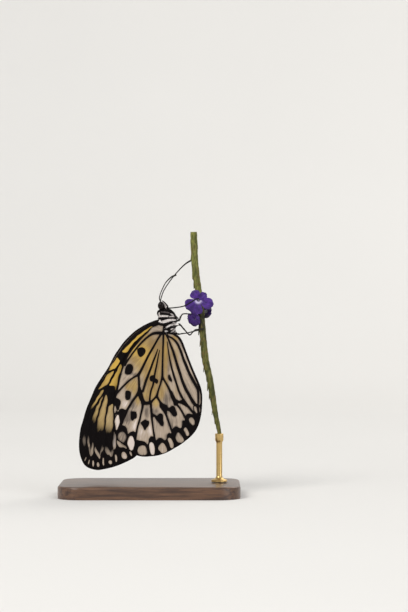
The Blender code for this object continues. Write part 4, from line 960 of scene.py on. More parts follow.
def forewing_marks(points):
    """Ink, gold, paleness and dimness over the forewing: light fields and white dots on a black ground."""
    grown = wander(points)
    light = np.full(len(points), FAR)
    gold, pale, dim = np.zeros((3, len(points)))
    fields = [(*shade, blot_gap(grown, ring)) for *shade, ring in FORE_FIELDS.values()]
    fields += [(*DOT_SHADE, dark, oval_gap(grown, *dot)) for *dot, dark in FORE_DOTS]
    fields.append((*GREY_LINE_SHADE, stroke_gap(grown, FORE_GREY_LINE)))
    for share, whiteness, dark, gap in fields:
        nearer = gap < light
        gold = np.where(nearer, share, gold)
        pale = np.where(nearer, whiteness, pale)
        dim = np.where(nearer, dark, dim)
        light = np.minimum(light, gap)
    ink = melt_all([-light] + [stroke_gap(grown, rows) for rows in FORE_INK.values()])
    return ink, gold, pale, dim + hills(points, FORE_FADES)


def hindwing_marks(points):
    """The same over the hindwing: black veins, blots and border on a tan to cream ground."""
    grown = wander(points)
    shapes = [stroke_gap(points, rows) for rows in HIND_VEINS.values()]
    shapes += [blot_gap(grown, ring) for ring in HIND_BLOTS.values()]
    first, last = HIND_OUTLINE.index(BORDER_START), HIND_OUTLINE.index(BORDER_END)
    edge = closed_line(on_wing(HIND_OUTLINE))
    widths = np.full(len(edge), 2 * FRONT_EDGE)
    widths[:3] = 2 * SHOULDER_EDGE
    widths[first:last + 1] = 2 * BORDER_EDGE
    widths[last + 1:-2] = 2 * INNER_EDGE
    edge[:, 2] = widths * MM_PER_PIXEL
    shapes.append(line_gap(points, edge))
    shapes.append(field_gap(grown, on_wing(BORDER_LINE + HIND_OUTLINE[last:first - 1:-1])))
    pale = hills(points, HIND_PATCHES)
    white = np.full(len(points), FAR)
    for whiteness, ring in BORDER_SPOTS.values():
        gap = blot_gap(grown, ring)
        shapes.append(gap - BORDER_RING * MM_PER_PIXEL)
        pale = np.where(gap < SPOT_HALO, whiteness, pale)
        white = np.minimum(white, gap)
    ink = np.maximum(melt_all(shapes) - INK_SPREAD, -white)
    plain, washed = np.ones((2, len(points)))
    for *oval, amount in HIND_GOLD:
        share = amount * hill(points, *oval)
        if amount > 0:
            plain = plain * (1 - share)
        else:
            washed = washed * (1 + share)
    gold = (1 - plain) * washed * (white > SPOT_HALO / 2)
    return ink, gold, pale, np.zeros(len(points))


def make_wing(kind, side_name, material, sheet, marks, stand, hinge):
    """A thin wing with raised veins, bent so that it lies closed over the back."""
    name = f"wing_{kind}_{side_name}"
    side = SIDES[side_name]
    flat, triangles, crests = sheet
    away = np.minimum.reduce([line_gap(flat, crest) for crest in crests])
    sag = MEMBRANE_SAG * (1 - np.exp(-((away / SAG_REACH) ** 2)))
    points = np.column_stack([flat[:, 0], side * (stand(flat) - sag), flat[:, 1]])
    wing = add_object(name, new_mesh(name, points, [tuple(t) for t in triangles]), material)
    if side > 0:
        wing.data.flip_normals()
    group = wing.vertex_groups.new(name="thickness")
    full = MEMBRANE + VEIN_HEIGHT
    for i, gap in enumerate(away):
        ridge = math.exp(-((gap / VEIN_SLOPE) ** 2))
        group.add([i], (MEMBRANE + VEIN_HEIGHT * ridge) / full, "REPLACE")
    shell = wing.modifiers.new("thickness", "SOLIDIFY")
    shell.thickness = full * MM
    shell.offset = 0
    shell.vertex_group = group.name
    apply_modifiers(wing)
    wing.vertex_groups.clear()
    smooth_shade(wing, 60)
    layers = len(wing.data.vertices) // len(flat)
    out = flat - np.array([hinge[0], hinge[2]])
    turn = np.arctan2(out[:, 0], -out[:, 1])
    flow = np.column_stack([turn, np.hypot(*out.T) / STREAK_LENGTH, np.full(len(flat), side)])
    for field, values in zip(("ink", "gold", "pale", "dim"), marks):
        store(wing, **{field: np.tile(values, layers)})
    store(wing, flow=np.tile(flow, (layers, 1)))
    return finish_piece(wing, kind + "wing", f"{kind}wing_{side_name}")


def wing_scales():
    """Dusty scales: black ink on a ground that runs from gold through tan to grey cream and chalk."""
    finish = Finish("wing_scales", roughness=0.75, specular_ior_level=0.08)
    flow = finish.attribute("flow", vector=True)
    streaks = finish.noise(0.022, flow, 3.0, 0.6)
    fibres = finish.noise(0.009, flow, 2.0, 0.6)
    clouds = finish.noise(3.2, None, 2.0, 0.5)
    dust = finish.noise(0.16, None, 1.0, 0.5)
    ink = finish.attribute("ink")
    light = (ink + (dust - 0.5) * 0.1).between(-0.05, 0.06)
    # Painted shade: the ground is darkened beside the black veins and blots.
    ink_painted_shade = 1 - ink.between(0.0, 0.7)
    pale = finish.attribute("pale") + (clouds - 0.5) * 0.5 + (streaks - 0.5) * 1.3 + (fibres - 0.5) * 1.3
    pale = pale - ink_painted_shade * 0.5
    grey = finish.mix(pale.between(-0.9, 0.05), GREY, CREAM)
    ground = finish.mix(pale.between(0.05, 1.0), grey, CHALK)
    gold = finish.attribute("gold") + (streaks - 0.5) * 0.3
    warm = finish.mix(gold.between(0.05, 0.6), ground, finish.mix(pale.between(-0.5, 0.5), UMBER, TAN))
    warm = finish.mix(gold.between(0.6, 1.0), warm, GOLD)
    shade = finish.attribute("dim") * (fibres * 1.2 + streaks * 0.8)
    colour = finish.mix(light - shade, INK, warm)
    rows = finish.bump(dust, 0.02, 0.5)
    return finish.set(base_color=colour, normal=rows)


def egg(name, centre, radii, segments=32, rings=20):
    deselect()
    bpy.ops.mesh.primitive_uv_sphere_add(segments=segments, ring_count=rings, radius=1)
    ball = bpy.context.object
    ball.name = name
    place = Matrix.Translation(Vector(centre) * MM) @ Matrix.Diagonal((*[r * MM for r in radii], 1))
    ball.data.transform(place)
    return ball


def circle(sides):
    """Cosines and sines of even turns, one row for each side."""
    turns = 2 * math.pi * np.arange(sides)[:, None] / sides
    return np.cos(turns), np.sin(turns)


def ring_mesh(name, rings):
    """A closed mesh through rings of points, with a flat cap at each end."""
    sides = len(rings[0])
    last = (len(rings) - 1) * sides
    faces = []
    for low in range(0, last, sides):
        for k in range(sides):
            after = (k + 1) % sides
            faces.append((low + k, low + after, low + sides + after, low + sides + k))
    faces.append(tuple(reversed(range(sides))))
    faces.append(tuple(range(last, last + sides)))
    mesh = new_mesh(name, np.concatenate(rings), faces)
    outward(mesh)
    return mesh


def tube_mesh(name, rows, sides, flatten=1.0):
    """A closed round limb through rows (x, y, z, radius), which may be flatter one way than the other."""
    rows = np.asarray(rows, float)
    tangents = directions(rows)
    across = np.cross(tangents[0], (0.3, 0.9, 0.2))
    cosines, sines = circle(sides)
    rings = []
    for row, tangent in zip(rows, tangents):
        across = unit(across - tangent * (across @ tangent))
        over = np.cross(tangent, across)
        rings.append(row[:3] + row[3] * (across * cosines + over * sines * flatten))
    return ring_mesh(name, rings)


def body_loft(name, stations):
    """A closed body through elliptic sections in the middle plane."""
    rows = smooth_rows([(x, 0, z, depth, width) for x, z, depth, width in stations], BODY_STEP)
    cosines, sines = circle(BODY_SIDES)
    rings = []
    for row, tangent in zip(rows, directions(rows)):
        over = np.array([-tangent[2], 0, tangent[0]])
        rings.append(row[:3] + over * row[3] * cosines + np.array([0, row[4], 0]) * sines)
    return add_object(name, ring_mesh(name, rings))


def abdomen_line(t):
    """The abdomen's middle (x, z), from the waist at 0 to its tip at 1."""
    bow = ABDOMEN_BOW * np.sin(np.pi * t)
    return WAIST[0] + (ABDOMEN_TIP[0] - WAIST[0]) * t + bow, WAIST[1] + (ABDOMEN_TIP[1] - WAIST[1]) * t


def make_skin(material):
    """One skin over head, neck, thorax, the legs' roots, waist and the ringed abdomen."""
    pieces = [body_loft("trunk", THORAX), egg("skull", HEAD_CENTRE, HEAD_RADII), egg("neck", *NECK)]
    stations = []
    for t in np.arange(ABDOMEN_RINGS * 8 + 1) / (ABDOMEN_RINGS * 8):
        x, z = abdomen_line(t)
        ring = 1 + 0.035 * (2 * abs(math.sin(math.pi * (t * ABDOMEN_RINGS))) ** 0.5 - 1)
        half = ABDOMEN_HALF_WIDTH * math.sin(math.pi * (0.16 + 0.8 * t)) ** 0.6 * ring
        stations.append((x, z, half * 1.05, half))
    pieces.append(body_loft("belly", stations))
    pieces.append(egg("waist", *WAIST_SWELL))
    for side in SIDES.values():
        for name, (centre, radii) in PAIRED_SWELLS.items():
            pieces.append(egg(name, mirrored([centre], side)[0], radii))
        for leg in ("foreleg_left", "midleg_left", "hindleg_left"):
            hips = np.array(mirrored(LEGS[leg][:2], side))
            hips[:, 3] *= HIP_SIZE
            pieces.append(add_object("hip", tube_mesh("hip", smooth_rows(hips, 0.5), 12)))
    skin = join_pieces(pieces, "body_skin")
    remesh = skin.modifiers.new("one skin", "REMESH")
    remesh.mode = "VOXEL"
    remesh.voxel_size = SKIN_VOXEL * MM
    relax = skin.modifiers.new("relax", "SMOOTH")
    relax.iterations = 3
    apply_modifiers(skin)
    smooth_shade(skin, 180)
    dress(skin, material)
    store(skin, pale=body_marks(points_of(skin)))
    return finish_piece(skin, "body", "head", "thorax", "abdomen")


def body_marks(points):
    """Paleness over the body: bands on head and thorax, stripes on the back, rings on the abdomen."""
    x, y, z = points.T
    side_view = points[:, [0, 2]]
    chest = np.zeros(len(points))
    for amount, rows in BODY_BANDS.values():  # a band below 0 takes away from those before it
        inked = 1 - smooth_step(-0.08, 0.1, stroke_gap(side_view, rows))
        chest = np.maximum(chest, amount * inked) if amount > 0 else chest * (1 - inked)
    back = smooth_step(3.6, 2.8, x) * (z < 74.2)
    lines = 0.8 * np.exp(-(((np.abs(y) - 0.75) / 0.22) ** 4)) + 0.5 * np.exp(-((y / 0.12) ** 4))
    chest = chest * (1 - back) + lines * back * smooth_step(72.4, 71.2, z)
    t = np.clip((WAIST[1] - z) / (WAIST[1] - ABDOMEN_TIP[1]), 0, 1)
    dorsal = smooth_step(-0.55, -1.1, x - abdomen_line(t)[0])
    seam = np.exp(-(((t * ABDOMEN_RINGS - np.round(t * ABDOMEN_RINGS)) / 0.1) ** 2))
    belly = (0.95 - 0.8 * dorsal) * (1 - 0.6 * seam)
    return np.clip(np.where(z > MARK_LINE, chest, belly), 0, 1)


def body_scales():
    finish = Finish("body_scales", roughness=0.75, specular_ior_level=0.15)
    fluff = finish.noise(0.22, None, 3.0, 0.6)
    clouds = finish.noise(1.2)
    pale = finish.attribute("pale") + (fluff - 0.5) * 0.35
    grey = finish.mix(pale.between(0.12, 0.5), INK, BODY_GREY)
    colour = finish.mix((pale + (clouds - 0.5) * 0.3).between(0.4, 0.85), grey, BODY_PALE)
    return finish.set(base_color=colour, normal=finish.bump(fluff, 0.09, 0.6))


def add_hairs(skin, material, name, keep, count, length, thickness):
    """Fine hair scales over the skin, each a thin three-sided spike that lies back along the body."""
    random = np.random.default_rng(SEED)
    mesh = skin.data
    mesh.calc_loop_triangles()
    points = points_of(skin)
    corners = np.array([t.vertices[:] for t in mesh.loop_triangles])
    a, b, c = points[corners[:, 0]], points[corners[:, 1]], points[corners[:, 2]]
    normals = np.cross(b - a, c - a)
    weight = np.linalg.norm(normals, axis=1) * keep((a + b + c) / 3)
    chosen = random.choice(len(corners), count, p=weight / weight.sum())
    mix = random.dirichlet((1, 1, 1), count)
    roots = (np.stack([a, b, c], 1)[chosen] * mix[:, :, None]).sum(1)
    out = unit(normals)[chosen]
    lie = np.array([0.25, 0, -1.0]) + 0.25 * random.normal(size=(count, 3))
    lie = unit(lie - out * (lie * out).sum(1)[:, None])
    rise = random.uniform(0.25, 0.7, count)[:, None]
    ways = unit(lie * (1 - rise * 0.5) + out * rise)
    reach = length * random.uniform(0.6, 1.15, count)[:, None]
    side_way = unit(np.cross(ways, out))
    lift = np.cross(side_way, ways)
    sunk = roots - out * thickness
    stations = ((sunk, thickness), (sunk + ways * reach * 0.55, thickness * 0.8))
    verts = []
    for centre, width in stations:
        for turn in (0, 2 * math.pi / 3, 4 * math.pi / 3):
            verts.append(centre + side_way * width * math.cos(turn) + lift * width * math.sin(turn))
    verts.append(sunk + ways * reach + lie * reach * 0.25)
    shape = [(0, 2, 1), (0, 1, 4, 3), (1, 2, 5, 4), (2, 0, 3, 5), (3, 4, 6), (4, 5, 6), (5, 3, 6)]
    each = len(verts)
    faces = [tuple(each * i + k for k in face) for i in range(count) for face in shape]
    coat = add_object(name, new_mesh(name, np.stack(verts, 1).reshape(-1, 3), faces), material)
    smooth_shade(coat, 180)
    store(coat, pale=np.repeat(body_marks(roots), each))
    sheet = coat.data.uv_layers.new(name="OFBake")
    around = (np.arctan2(roots[:, 1], roots[:, 0] - BODY_MIDDLE) / (2 * math.pi) + 0.5) * 0.98
    along = (roots[:, 2] - HAIR_FOOT) / HAIR_SPAN
    corner = HAIR_PATCH * np.array([(0, 0), (1, 0), (0.5, 1), (0, 0), (1, 0), (0.5, 1), (0.5, 0.5)])
    owners = np.empty(len(coat.data.loops), int)
    coat.data.loops.foreach_get("vertex_index", owners)
    spots = np.column_stack([around, along])[owners // each] + corner[owners % each]
    sheet.data.foreach_set("uv", spots.ravel())
    return finish_piece(coat, "body")


def make_eyes(material):
    for name, side in SIDES.items():
        eye = egg("eye_ball_" + name, mirrored([EYE_CENTRE], side)[0], EYE_RADII, 64, 40)
        smooth_shade(eye, 180)
        dress(eye, material)
        finish_piece(eye, "eye", "eye_" + name)


def eye_gloss():
    finish = Finish("eye_gloss", roughness=0.18, specular_ior_level=0.14)
    facets = finish.node("ShaderNodeTexVoronoi", {}, {"Vector": finish.place(), "Scale": 1 / (0.09 * MM)})
    bands = finish.noise(0.7)
    colour = finish.mix(bands, (0.0015, 0.001, 0.001, 1), (0.008, 0.004, 0.003, 1))
    return finish.set(base_color=colour, normal=finish.bump(facets, 0.008, 0.3))


def make_palps(material):
    for name, side in SIDES.items():
        rows = smooth_rows(mirrored(PALP, side), 0.12)
        palp = add_object("palp_skin_" + name, tube_mesh("palp", rows, 20, 0.8), material)
        smooth_shade(palp, 60)
        x, _, z = points_of(palp).T
        ahead = x - np.interp(z, [row[2] for row in PALP], [row[0] for row in PALP])
        store(palp, pale=0.62 - 0.62 * smooth_step(-0.06, 0.12, ahead))
        finish_piece(palp, "body", "palp_" + name)


def limb_piece(name, rows, sides, material, node, step, rings=None, joints=()):
    """A round limb that may be ringed all along, or swollen at its joints."""
    rows = smooth_rows(rows, step)
    away = np.concatenate([[0], np.cumsum(np.linalg.norm(np.diff(rows[:, :3], axis=0), axis=1))])
    if rings:
        rows[:, 3] *= 1 + 0.09 * np.sin(2 * math.pi * away / rings)
    for joint, amount in joints:
        near = away[np.argmin(np.linalg.norm(rows[:, :3] - np.array(joint), axis=1))]
        rows[:, 3] *= 1 + amount * np.exp(-(((away - near) / 0.3) ** 2))
    limb = add_object(name, tube_mesh(name, rows, sides), material)
    smooth_shade(limb, 60)
    return finish_piece(limb, "limb", node)


def make_legs(material):
    random = np.random.default_rng(SEED + 1)
    for node, rows in LEGS.items():
        placed = mirrored(rows, side_of(node))
        joints = [(row[:3], 0.35) for row in placed[2:4]] + [(row[:3], 0.25) for row in placed[4:-1]]
        leg = limb_piece(node.replace("leg", "_leg"), placed, 14, material, node, 0.15, joints=joints)
        points = points_of(leg)
        store(leg, pale=body_marks(points) * smooth_step(12.0, 11.0, points[:, 0]))
        add_spines(leg, smooth_rows(placed, 0.35), random)


def add_spines(leg, rows, random):
    """Short bristles along the thin part of the leg and a pair of claws at its end."""
    points, faces = [], []
    thin = [row for row in rows[:-1] if row[3] < BRISTLE_LIMIT]
    tasks = [(row, BRISTLE_LENGTH, random.normal(size=3)) for row in thin for _ in range(2)]
    end = rows[-1]
    ahead = unit((end - rows[-3])[:3])
    tasks += [(end, CLAW_LENGTH, ahead + np.array([0, turn, -0.4])) for turn in (-0.6, 0.6)]
    cosines, sines = circle(4)
    for row, length, way in tasks:
        way = unit(way)
        flat = unit(np.cross(way, (0.3, 0.5, 0.8)))
        root = row[:3] + way * row[3] * 0.5
        start = len(points)
        points += list(root + BRISTLE_RADIUS * (flat * cosines + np.cross(way, flat) * sines))
        points.append(root + way * length)
        faces += [(start + 3, start + 2, start + 1, start)]
        faces += [(start + k, start + (k + 1) % 4, start + 4) for k in range(4)]
    bristles = add_object(leg.name + "_bristles", new_mesh("bristles", points, faces), leg.data.materials[0])
    outward(bristles.data)
    store(bristles, pale=np.zeros(len(points)))
    finish_piece(bristles, "limb")


def leg_scales():
    finish = Finish("leg_scales", roughness=0.5, specular_ior_level=0.25)
    speckle = finish.noise(0.3)
    pale = finish.attribute("pale") + (speckle - 0.5) * 0.2
    colour = finish.mix(pale.between(0.25, 0.7), (0.01, 0.008, 0.008, 1), BODY_PALE)
    return finish.set(base_color=colour, normal=finish.bump(speckle, 0.03, 0.5))


def dark_limb():
    finish = Finish("dark_limb", roughness=0.5, specular_ior_level=0.15)
    speckle = finish.noise(0.25)
    colour = finish.mix(speckle, (0.003, 0.0025, 0.002, 1), (0.012, 0.009, 0.007, 1))
    return finish.set(base_color=colour, normal=finish.bump(speckle, 0.02, 0.4))


def sheet_faces(start, rows, columns):
    """The faces of a sheet of points that lie in rows, from point number start on."""
    firsts = [start + k * columns + s for k in range(rows - 1) for s in range(columns - 1)]
    return [(first, first + 1, first + columns + 1, first + columns) for first in firsts]


def spike_line():
    return smooth_rows([(x, 0, z, radius) for x, z, radius in SPIKE], 0.4)


def make_spike(material):
    """The spike's ridged stem with its close, pointed bracts, joined into one piece."""
    line = spike_line()
    stem = add_object("spike_stem", tube_mesh("spike_stem", line, STEM_SIDES))
    centres = np.repeat(line[:, :3], STEM_SIDES, axis=0)
    turn = np.tile(np.arange(STEM_SIDES) / STEM_SIDES * 2 * math.pi, len(line))
    swell = 1 + 0.05 * np.sin(5 * turn + centres[:, 2] * 0.35) + 0.03 * np.sin(centres[:, 2] * 2.2 + 2 * turn)
    ridged = centres + (points_of(stem) - centres) * swell[:, None]
    stem.data.vertices.foreach_set("co", (ridged * MM).ravel())
    spike = join_pieces([stem, make_bracts(line)], "flower_spike")
    smooth_shade(spike, 60)
    dress(spike, material)
    return finish_piece(spike, "stem", "spike")


def make_bracts(line):
    """Small pointed leaves in a spiral up the stem, which lie close to it and point down."""
    random = np.random.default_rng(SEED + 2)
    low, high = SPIKE[-1][1] + 4.5, SPIKE[0][1] - 1.5
    steps, sides = 7, 5
    points, faces = [], []
    for i in range(BRACT_ROWS):
        height = low + (high - low) * i / (BRACT_ROWS - 1)
        x, _, z, radius = line[np.argmin(np.abs(line[:, 2] - height))]
        angle = i * GOLDEN_ANGLE + random.normal() * 0.1
        out = np.array([math.cos(angle), math.sin(angle), 0])
        across = np.array([-math.sin(angle), math.cos(angle), 0])
        size = radius / 1.2 * random.uniform(0.85, 1.1)
        if CALYX_ZONE[0] < height < CALYX_ZONE[1]:
            size *= CALYX_SIZE
        faces += sheet_faces(len(points), steps, sides)
        for k in range(steps):
            t = k / (steps - 1)
            half = BRACT_WIDTH * size * (math.sin(math.pi * min(1, 0.25 + 0.75 * t)) ** 0.8 * 0.5 + 0.02)
            lift = radius - 0.1 + 0.28 * math.sin(math.pi * 0.5 * t) + 0.04 * t * t
            middle = np.array([x, 0, z]) + out * lift + np.array([0, 0, BRACT_LENGTH * (0.3 - size * t)])
            for side in np.linspace(-1, 1, sides):
                points.append(middle + across * half * side - out * 0.16 * size * side * side)
    bracts = add_object("bracts", new_mesh("bracts", points, faces))
    thicken(bracts)
    return bracts


def stem_skin():
    """Ribbed olive skin, yellower above the flowers and darker below, with dark and brown patches and a
    near-black band at the flowers, partly calyx colour and partly painted shade.
    """
    finish = Finish("stem_skin", roughness=0.65, specular_ior_level=0.25)
    fibre = finish.noise(1.0, finish.stretched(2600, 2600, 420), 3.0)
    patches = finish.noise(1.0, finish.stretched(700, 700, 330), 2.0)
    rust = finish.noise(1.9)
    height = finish.node("ShaderNodeSeparateXYZ", {}, {0: finish.place()}, 2)
    upper = height.between(0.07, 0.083)
    pale = finish.mix(upper, (0.145, 0.133, 0.03, 1), (0.21, 0.21, 0.05, 1))
    colour = finish.mix(fibre.between(0.3, 0.7), (0.045, 0.052, 0.009, 1), pale)
    colour = finish.mix(rust.between(0.54, 0.72) * 0.7, colour, (0.14, 0.085, 0.03, 1))
    colour = finish.mix(patches.between(0.5, 0.66) * (0.85 - upper * 0.5), colour, (0.025, 0.029, 0.006, 1))
    # A near-black band where the flowers sit on the stem: partly the calyx's own dark colour, partly painted
    # shade under the flowers.
    calyx_and_painted_shade = height.between(0.063, 0.068) * (1 - height.between(0.071, 0.076))
    calyx_and_painted_shade = calyx_and_painted_shade * (0.1 + patches.between(0.32, 0.6) * 0.85)
    colour = finish.mix(calyx_and_painted_shade, colour, (0.012, 0.012, 0.005, 1))
    return finish.set(base_color=colour, normal=finish.bump(fibre, 0.08, 0.6))


def flower_frame(spec):
    """The flower's throat, and its ways out, to the right and up."""
    out = unit(np.array(spec["facing"], float))
    right = unit(np.cross((0, 0, 1), out))
    if abs(out[1]) > abs(out[0]) and right[0] < 0:
        right = -right
    up = unit(np.array([0, 0, 1]) - out * out[2])
    return np.array(spec["throat"], float), out, right, up


def petal_spread(t):
    """A petal's half width along it, as a share of its widest, which lies at PETAL_WIDEST."""
    if t < PETAL_WIDEST:
        turn = 0.5 * (t / PETAL_WIDEST) ** 1.3
    else:
        turn = 0.5 + 0.44 * ((t - PETAL_WIDEST) / (1 - PETAL_WIDEST)) ** 1.6
    return 0.16 + 0.84 * math.sin(math.pi * turn)


def make_petals(node, spec, longest, material):
    """Five overlapping petals, waved and notched, round a sunken throat with a milky rim, a painted highlight
    and painted shade.
    """
    throat, out, right, up = flower_frame(spec)
    points, faces, share, across_share = [], [], [], []
    steps, sides = 22, 17
    for order, (direction, length, wide) in enumerate(spec["lobes"]):
        angle = math.radians(direction)
        ahead = right * math.cos(angle) + up * math.sin(angle)
        across = -right * math.sin(angle) + up * math.cos(angle)
        faces += sheet_faces(len(points), steps, sides)
        for k in range(steps):
            t = k / (steps - 1)
            half = spec["width"] * wide * petal_spread(t)
            dip = 0.14 * longest * math.exp(-((t / 0.26) ** 2))
            level = 0.1 * (order % 3 - 1) * t
            for side in np.linspace(-1, 1, sides):
                notch = 0.07 * length * math.exp(-((side / 0.28) ** 2)) * t**6
                reach = length * (t - 0.10 * side * side * t**3) - notch
                cup = 0.24 * side * side * math.sin(math.pi * t) - 0.3 * t**3
                cup += 0.12 * math.sin(5 * side + 4 * t + order)
                cup += 0.16 * t**3 * math.sin(8 * side + 2 * order)
                lift = level + cup * t - dip + 0.12
                points.append(throat + ahead * reach + across * half * side + out * lift)
                share.append(t * length / longest)
                across_share.append(side)
    flower = add_object(node + "_petals", new_mesh(node, points, faces), material)
    thicken(flower)
    smooth_shade(flower, 60)
    layers = len(flower.data.vertices) // len(points)
    away = (np.array(points) - throat) * THROAT_SCALE / longest
    rise = away @ up
    reach = np.hypot(away @ right, rise)
    # Painted shade: the shaded flowers lose their white rim and painted highlight.
    lit = max(0, 1 - 2.5 * spec["petal_painted_shade"])
    milk_and_painted_light = lit * np.exp(-(((reach - 1.0) / 0.36) ** 2)) * smooth_step(0.4, -0.4, rise)
    # Painted highlight: a soft pale halo round and below the throat.
    painted_highlight = lit * 0.42 * np.exp(-(((reach - 1.3) / 1.2) ** 2)) * smooth_step(0.8, -0.6, rise)
    # Painted shade in the throat's opening, a dark spot where the tube goes in.
    throat_painted_shade = np.exp(-((reach / 0.6) ** 2))
    shades = {"along": share, "across": across_share, "milk_and_painted_light": np.maximum(milk_and_painted_light, painted_highlight), "throat_painted_shade": throat_painted_shade}
    # Painted shade, deeper towards the lower lobes.
    shades["petal_painted_shade"] = spec["petal_painted_shade"] + 0.45 * smooth_step(-1.2, -4.6, rise)
    store(flower, **{name: np.tile(values, layers) for name, values in shades.items()})
    finish_piece(flower, "petal", node)


def make_tube(node, spec, longest, material):
    """The flower's short tube, from the throat back to the nearest place on the spike's middle line."""
    throat, out, _, _ = flower_frame(spec)
    spine = spike_line()
    root = spine[np.argmin(np.linalg.norm(spine[:, :3] - throat, axis=1)), :3]
    rows = [(*(throat - out * 0.1 * longest), 0.62), (*((throat + root) / 2), 0.5), (*root, 0.6)]
    tube = add_object(node + "_tube", tube_mesh("tube", smooth_rows(rows, 0.2), 18), material)
    smooth_shade(tube, 60)
    finish_piece(tube, "petal")


def make_flowers(petal_finish, tube_finish):
    for node, spec in FLOWERS.items():
        longest = max(length for _, length, _ in spec["lobes"])
        make_petals(node, spec, longest, petal_finish)
        make_tube(node, spec, longest, tube_finish)


def petal_velvet():
    sheen = {"sheen_weight": 0.04, "sheen_roughness": 0.4}
    finish = Finish("petal_velvet", roughness=0.45, specular_ior_level=0.3, **sheen)
    along = finish.attribute("along")
    across = finish.attribute("across")
    ridge = finish.noise(0.12, finish.node("ShaderNodeCombineXYZ", {}, {0: across, 1: along * 0.12}), 2.0)
    cloud = finish.noise(1.6)
    deep = finish.mix(cloud.between(0.3, 0.7), (0.02, 0.004, 0.085, 1), (0.065, 0.017, 0.21, 1))
    light = finish.mix(ridge.between(0.45, 0.75) * 0.5, deep, (0.13, 0.055, 0.38, 1))
    # Painted shade over the shaded flowers and the lower lobes.
    colour = finish.mix(finish.attribute("petal_painted_shade"), light, (0.022, 0.008, 0.06, 1))
    # The white rim of the throat together with the painted highlight below it.
    colour = finish.mix(finish.attribute("milk_and_painted_light").between(0.25, 0.7), colour, (0.5, 0.44, 0.64, 1))
    # Painted shade in the throat's opening.
    colour = finish.mix(finish.attribute("throat_painted_shade").between(0.2, 0.7), colour, (0.012, 0.008, 0.02, 1))
    return finish.set(base_color=colour, normal=finish.bump(ridge, 0.06, 0.6))


def tube_velvet():
    finish = Finish("tube_velvet", roughness=0.6, sheen_weight=0.2)
    cloud = finish.noise(0.8)
    colour = finish.mix(cloud, (0.05, 0.03, 0.12, 1), (0.12, 0.13, 0.08, 1))
    return finish.set(base_color=colour, normal=finish.bump(cloud, 0.05, 0.4))


def round_edges(cage, edges, radius, segments):
    bmesh.ops.bevel(cage, geom=edges, offset=radius * MM, segments=segments, profile=0.5, affect="EDGES")


def make_plinth(material):
    """The base: a slab with round corners and a softly rounded upper edge."""
    low, high = (np.array(corner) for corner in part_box("stand_base"))
    deselect()
    bpy.ops.mesh.primitive_cube_add(size=1, location=tuple((low + high) / 2))
    slab = bpy.context.object
    slab.name = "plinth"
    slab.scale = tuple(high - low)
    bpy.ops.object.transform_apply(location=True, rotation=True, scale=True)
    corners = bmesh.new()
    corners.from_mesh(slab.data)
    upright = [e for e in corners.edges if abs(e.verts[0].co.z - e.verts[1].co.z) > MM]
    round_edges(corners, upright, PLINTH_CORNER, 20)
    top = [e for e in corners.edges if all(abs(v.co.z - high[2]) < 1e-6 for v in e.verts)]
    round_edges(corners, top, PLINTH_EDGE, 6)
    corners.to_mesh(slab.data)
    corners.free()
    smooth_shade(slab, 35)
    dress(slab, material)
    return finish_piece(slab, "base_wood", "stand_base")


def dark_wood():
    finish = Finish("dark_wood", roughness=0.38, coat_weight=0.25, coat_roughness=0.25)
    grain = finish.noise(1.0, finish.stretched(60, 900, 900), 4.0, 0.6)
    pores = finish.noise(1.0, finish.stretched(220, 5200, 5200), 2.0)
    colour = finish.mix(grain.between(0.3, 0.7), (0.035, 0.014, 0.007, 1), (0.13, 0.06, 0.028, 1))
    colour = finish.mix(pores.between(0.58, 0.72) * 0.6, colour, (0.015, 0.007, 0.004, 1))
    return finish.set(base_color=colour, normal=finish.bump(pores, 0.03, 0.3))


def make_rod(material):
    """The turned brass rod, as a profile spun round its axis."""
    low, high = (np.array(corner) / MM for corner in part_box("stand_rod"))
    foot, top = low[2], high[2]
    profile = [(radius, top - drop) for radius, drop in ROD_CAP]
    profile += [(radius, foot + height) for radius, height in ROD_FOOT]
    mesh = bpy.data.meshes.new("rod")
    edges = [(i, i + 1) for i in range(len(profile) - 1)]
    mesh.from_pydata([(radius * MM, 0, z * MM) for radius, z in profile], edges, [])
    rod = add_object("rod", mesh, material)
    turn = rod.modifiers.new("turn", "SCREW")
    turn.steps = turn.render_steps = 72
    turn.use_merge_vertices = True
    turn.merge_threshold = 0.005 * MM
    apply_modifiers(rod)
    rod.data.transform(Matrix.Translation(((low[0] + high[0]) / 2 * MM, 0, 0)))
    smooth_shade(rod, 40)
    return finish_piece(rod, "rod_brass", "stand_rod")


def satin_brass():
    finish = Finish("satin_brass", metallic=1.0)
    rings = finish.noise(1.0, finish.stretched(300, 300, 9000), 2.0)
    colour = finish.mix(rings, (0.5, 0.33, 0.12, 1), (0.66, 0.47, 0.2, 1))
    return finish.set(base_color=colour, roughness=rings * 0.18 + 0.22)


def studio_paper():
    finish = Finish("studio_paper", roughness=0.9)
    colour = finish.mix(finish.noise(300.0), (0.7, 0.69, 0.67, 1), (0.74, 0.73, 0.71, 1))
    return finish.set(base_color=colour)


def make_stage(material):
    """A pale floor that sweeps up into a pale backdrop, in metres."""
    half_width, front, bend, radius, top = 3.0, -2.0, 0.7, 0.5, 3.0
    turns = [k * math.pi / 16 for k in range(1, 9)]
    section = [(front, 0), (bend, 0)]
    section += [(bend + radius * math.sin(turn), radius - radius * math.cos(turn)) for turn in turns]
    section.append((bend + radius, top))
    points = [(x, y, z) for x in (-half_width, half_width) for y, z in section]
    half = len(section)
    mesh = bpy.data.meshes.new("studio_floor")
    mesh.from_pydata(points, [], [(i, i + half, i + half + 1, i + 1) for i in range(half - 1)])
    floor = add_object("studio_floor", mesh, material)
    floor.data.shade_smooth()


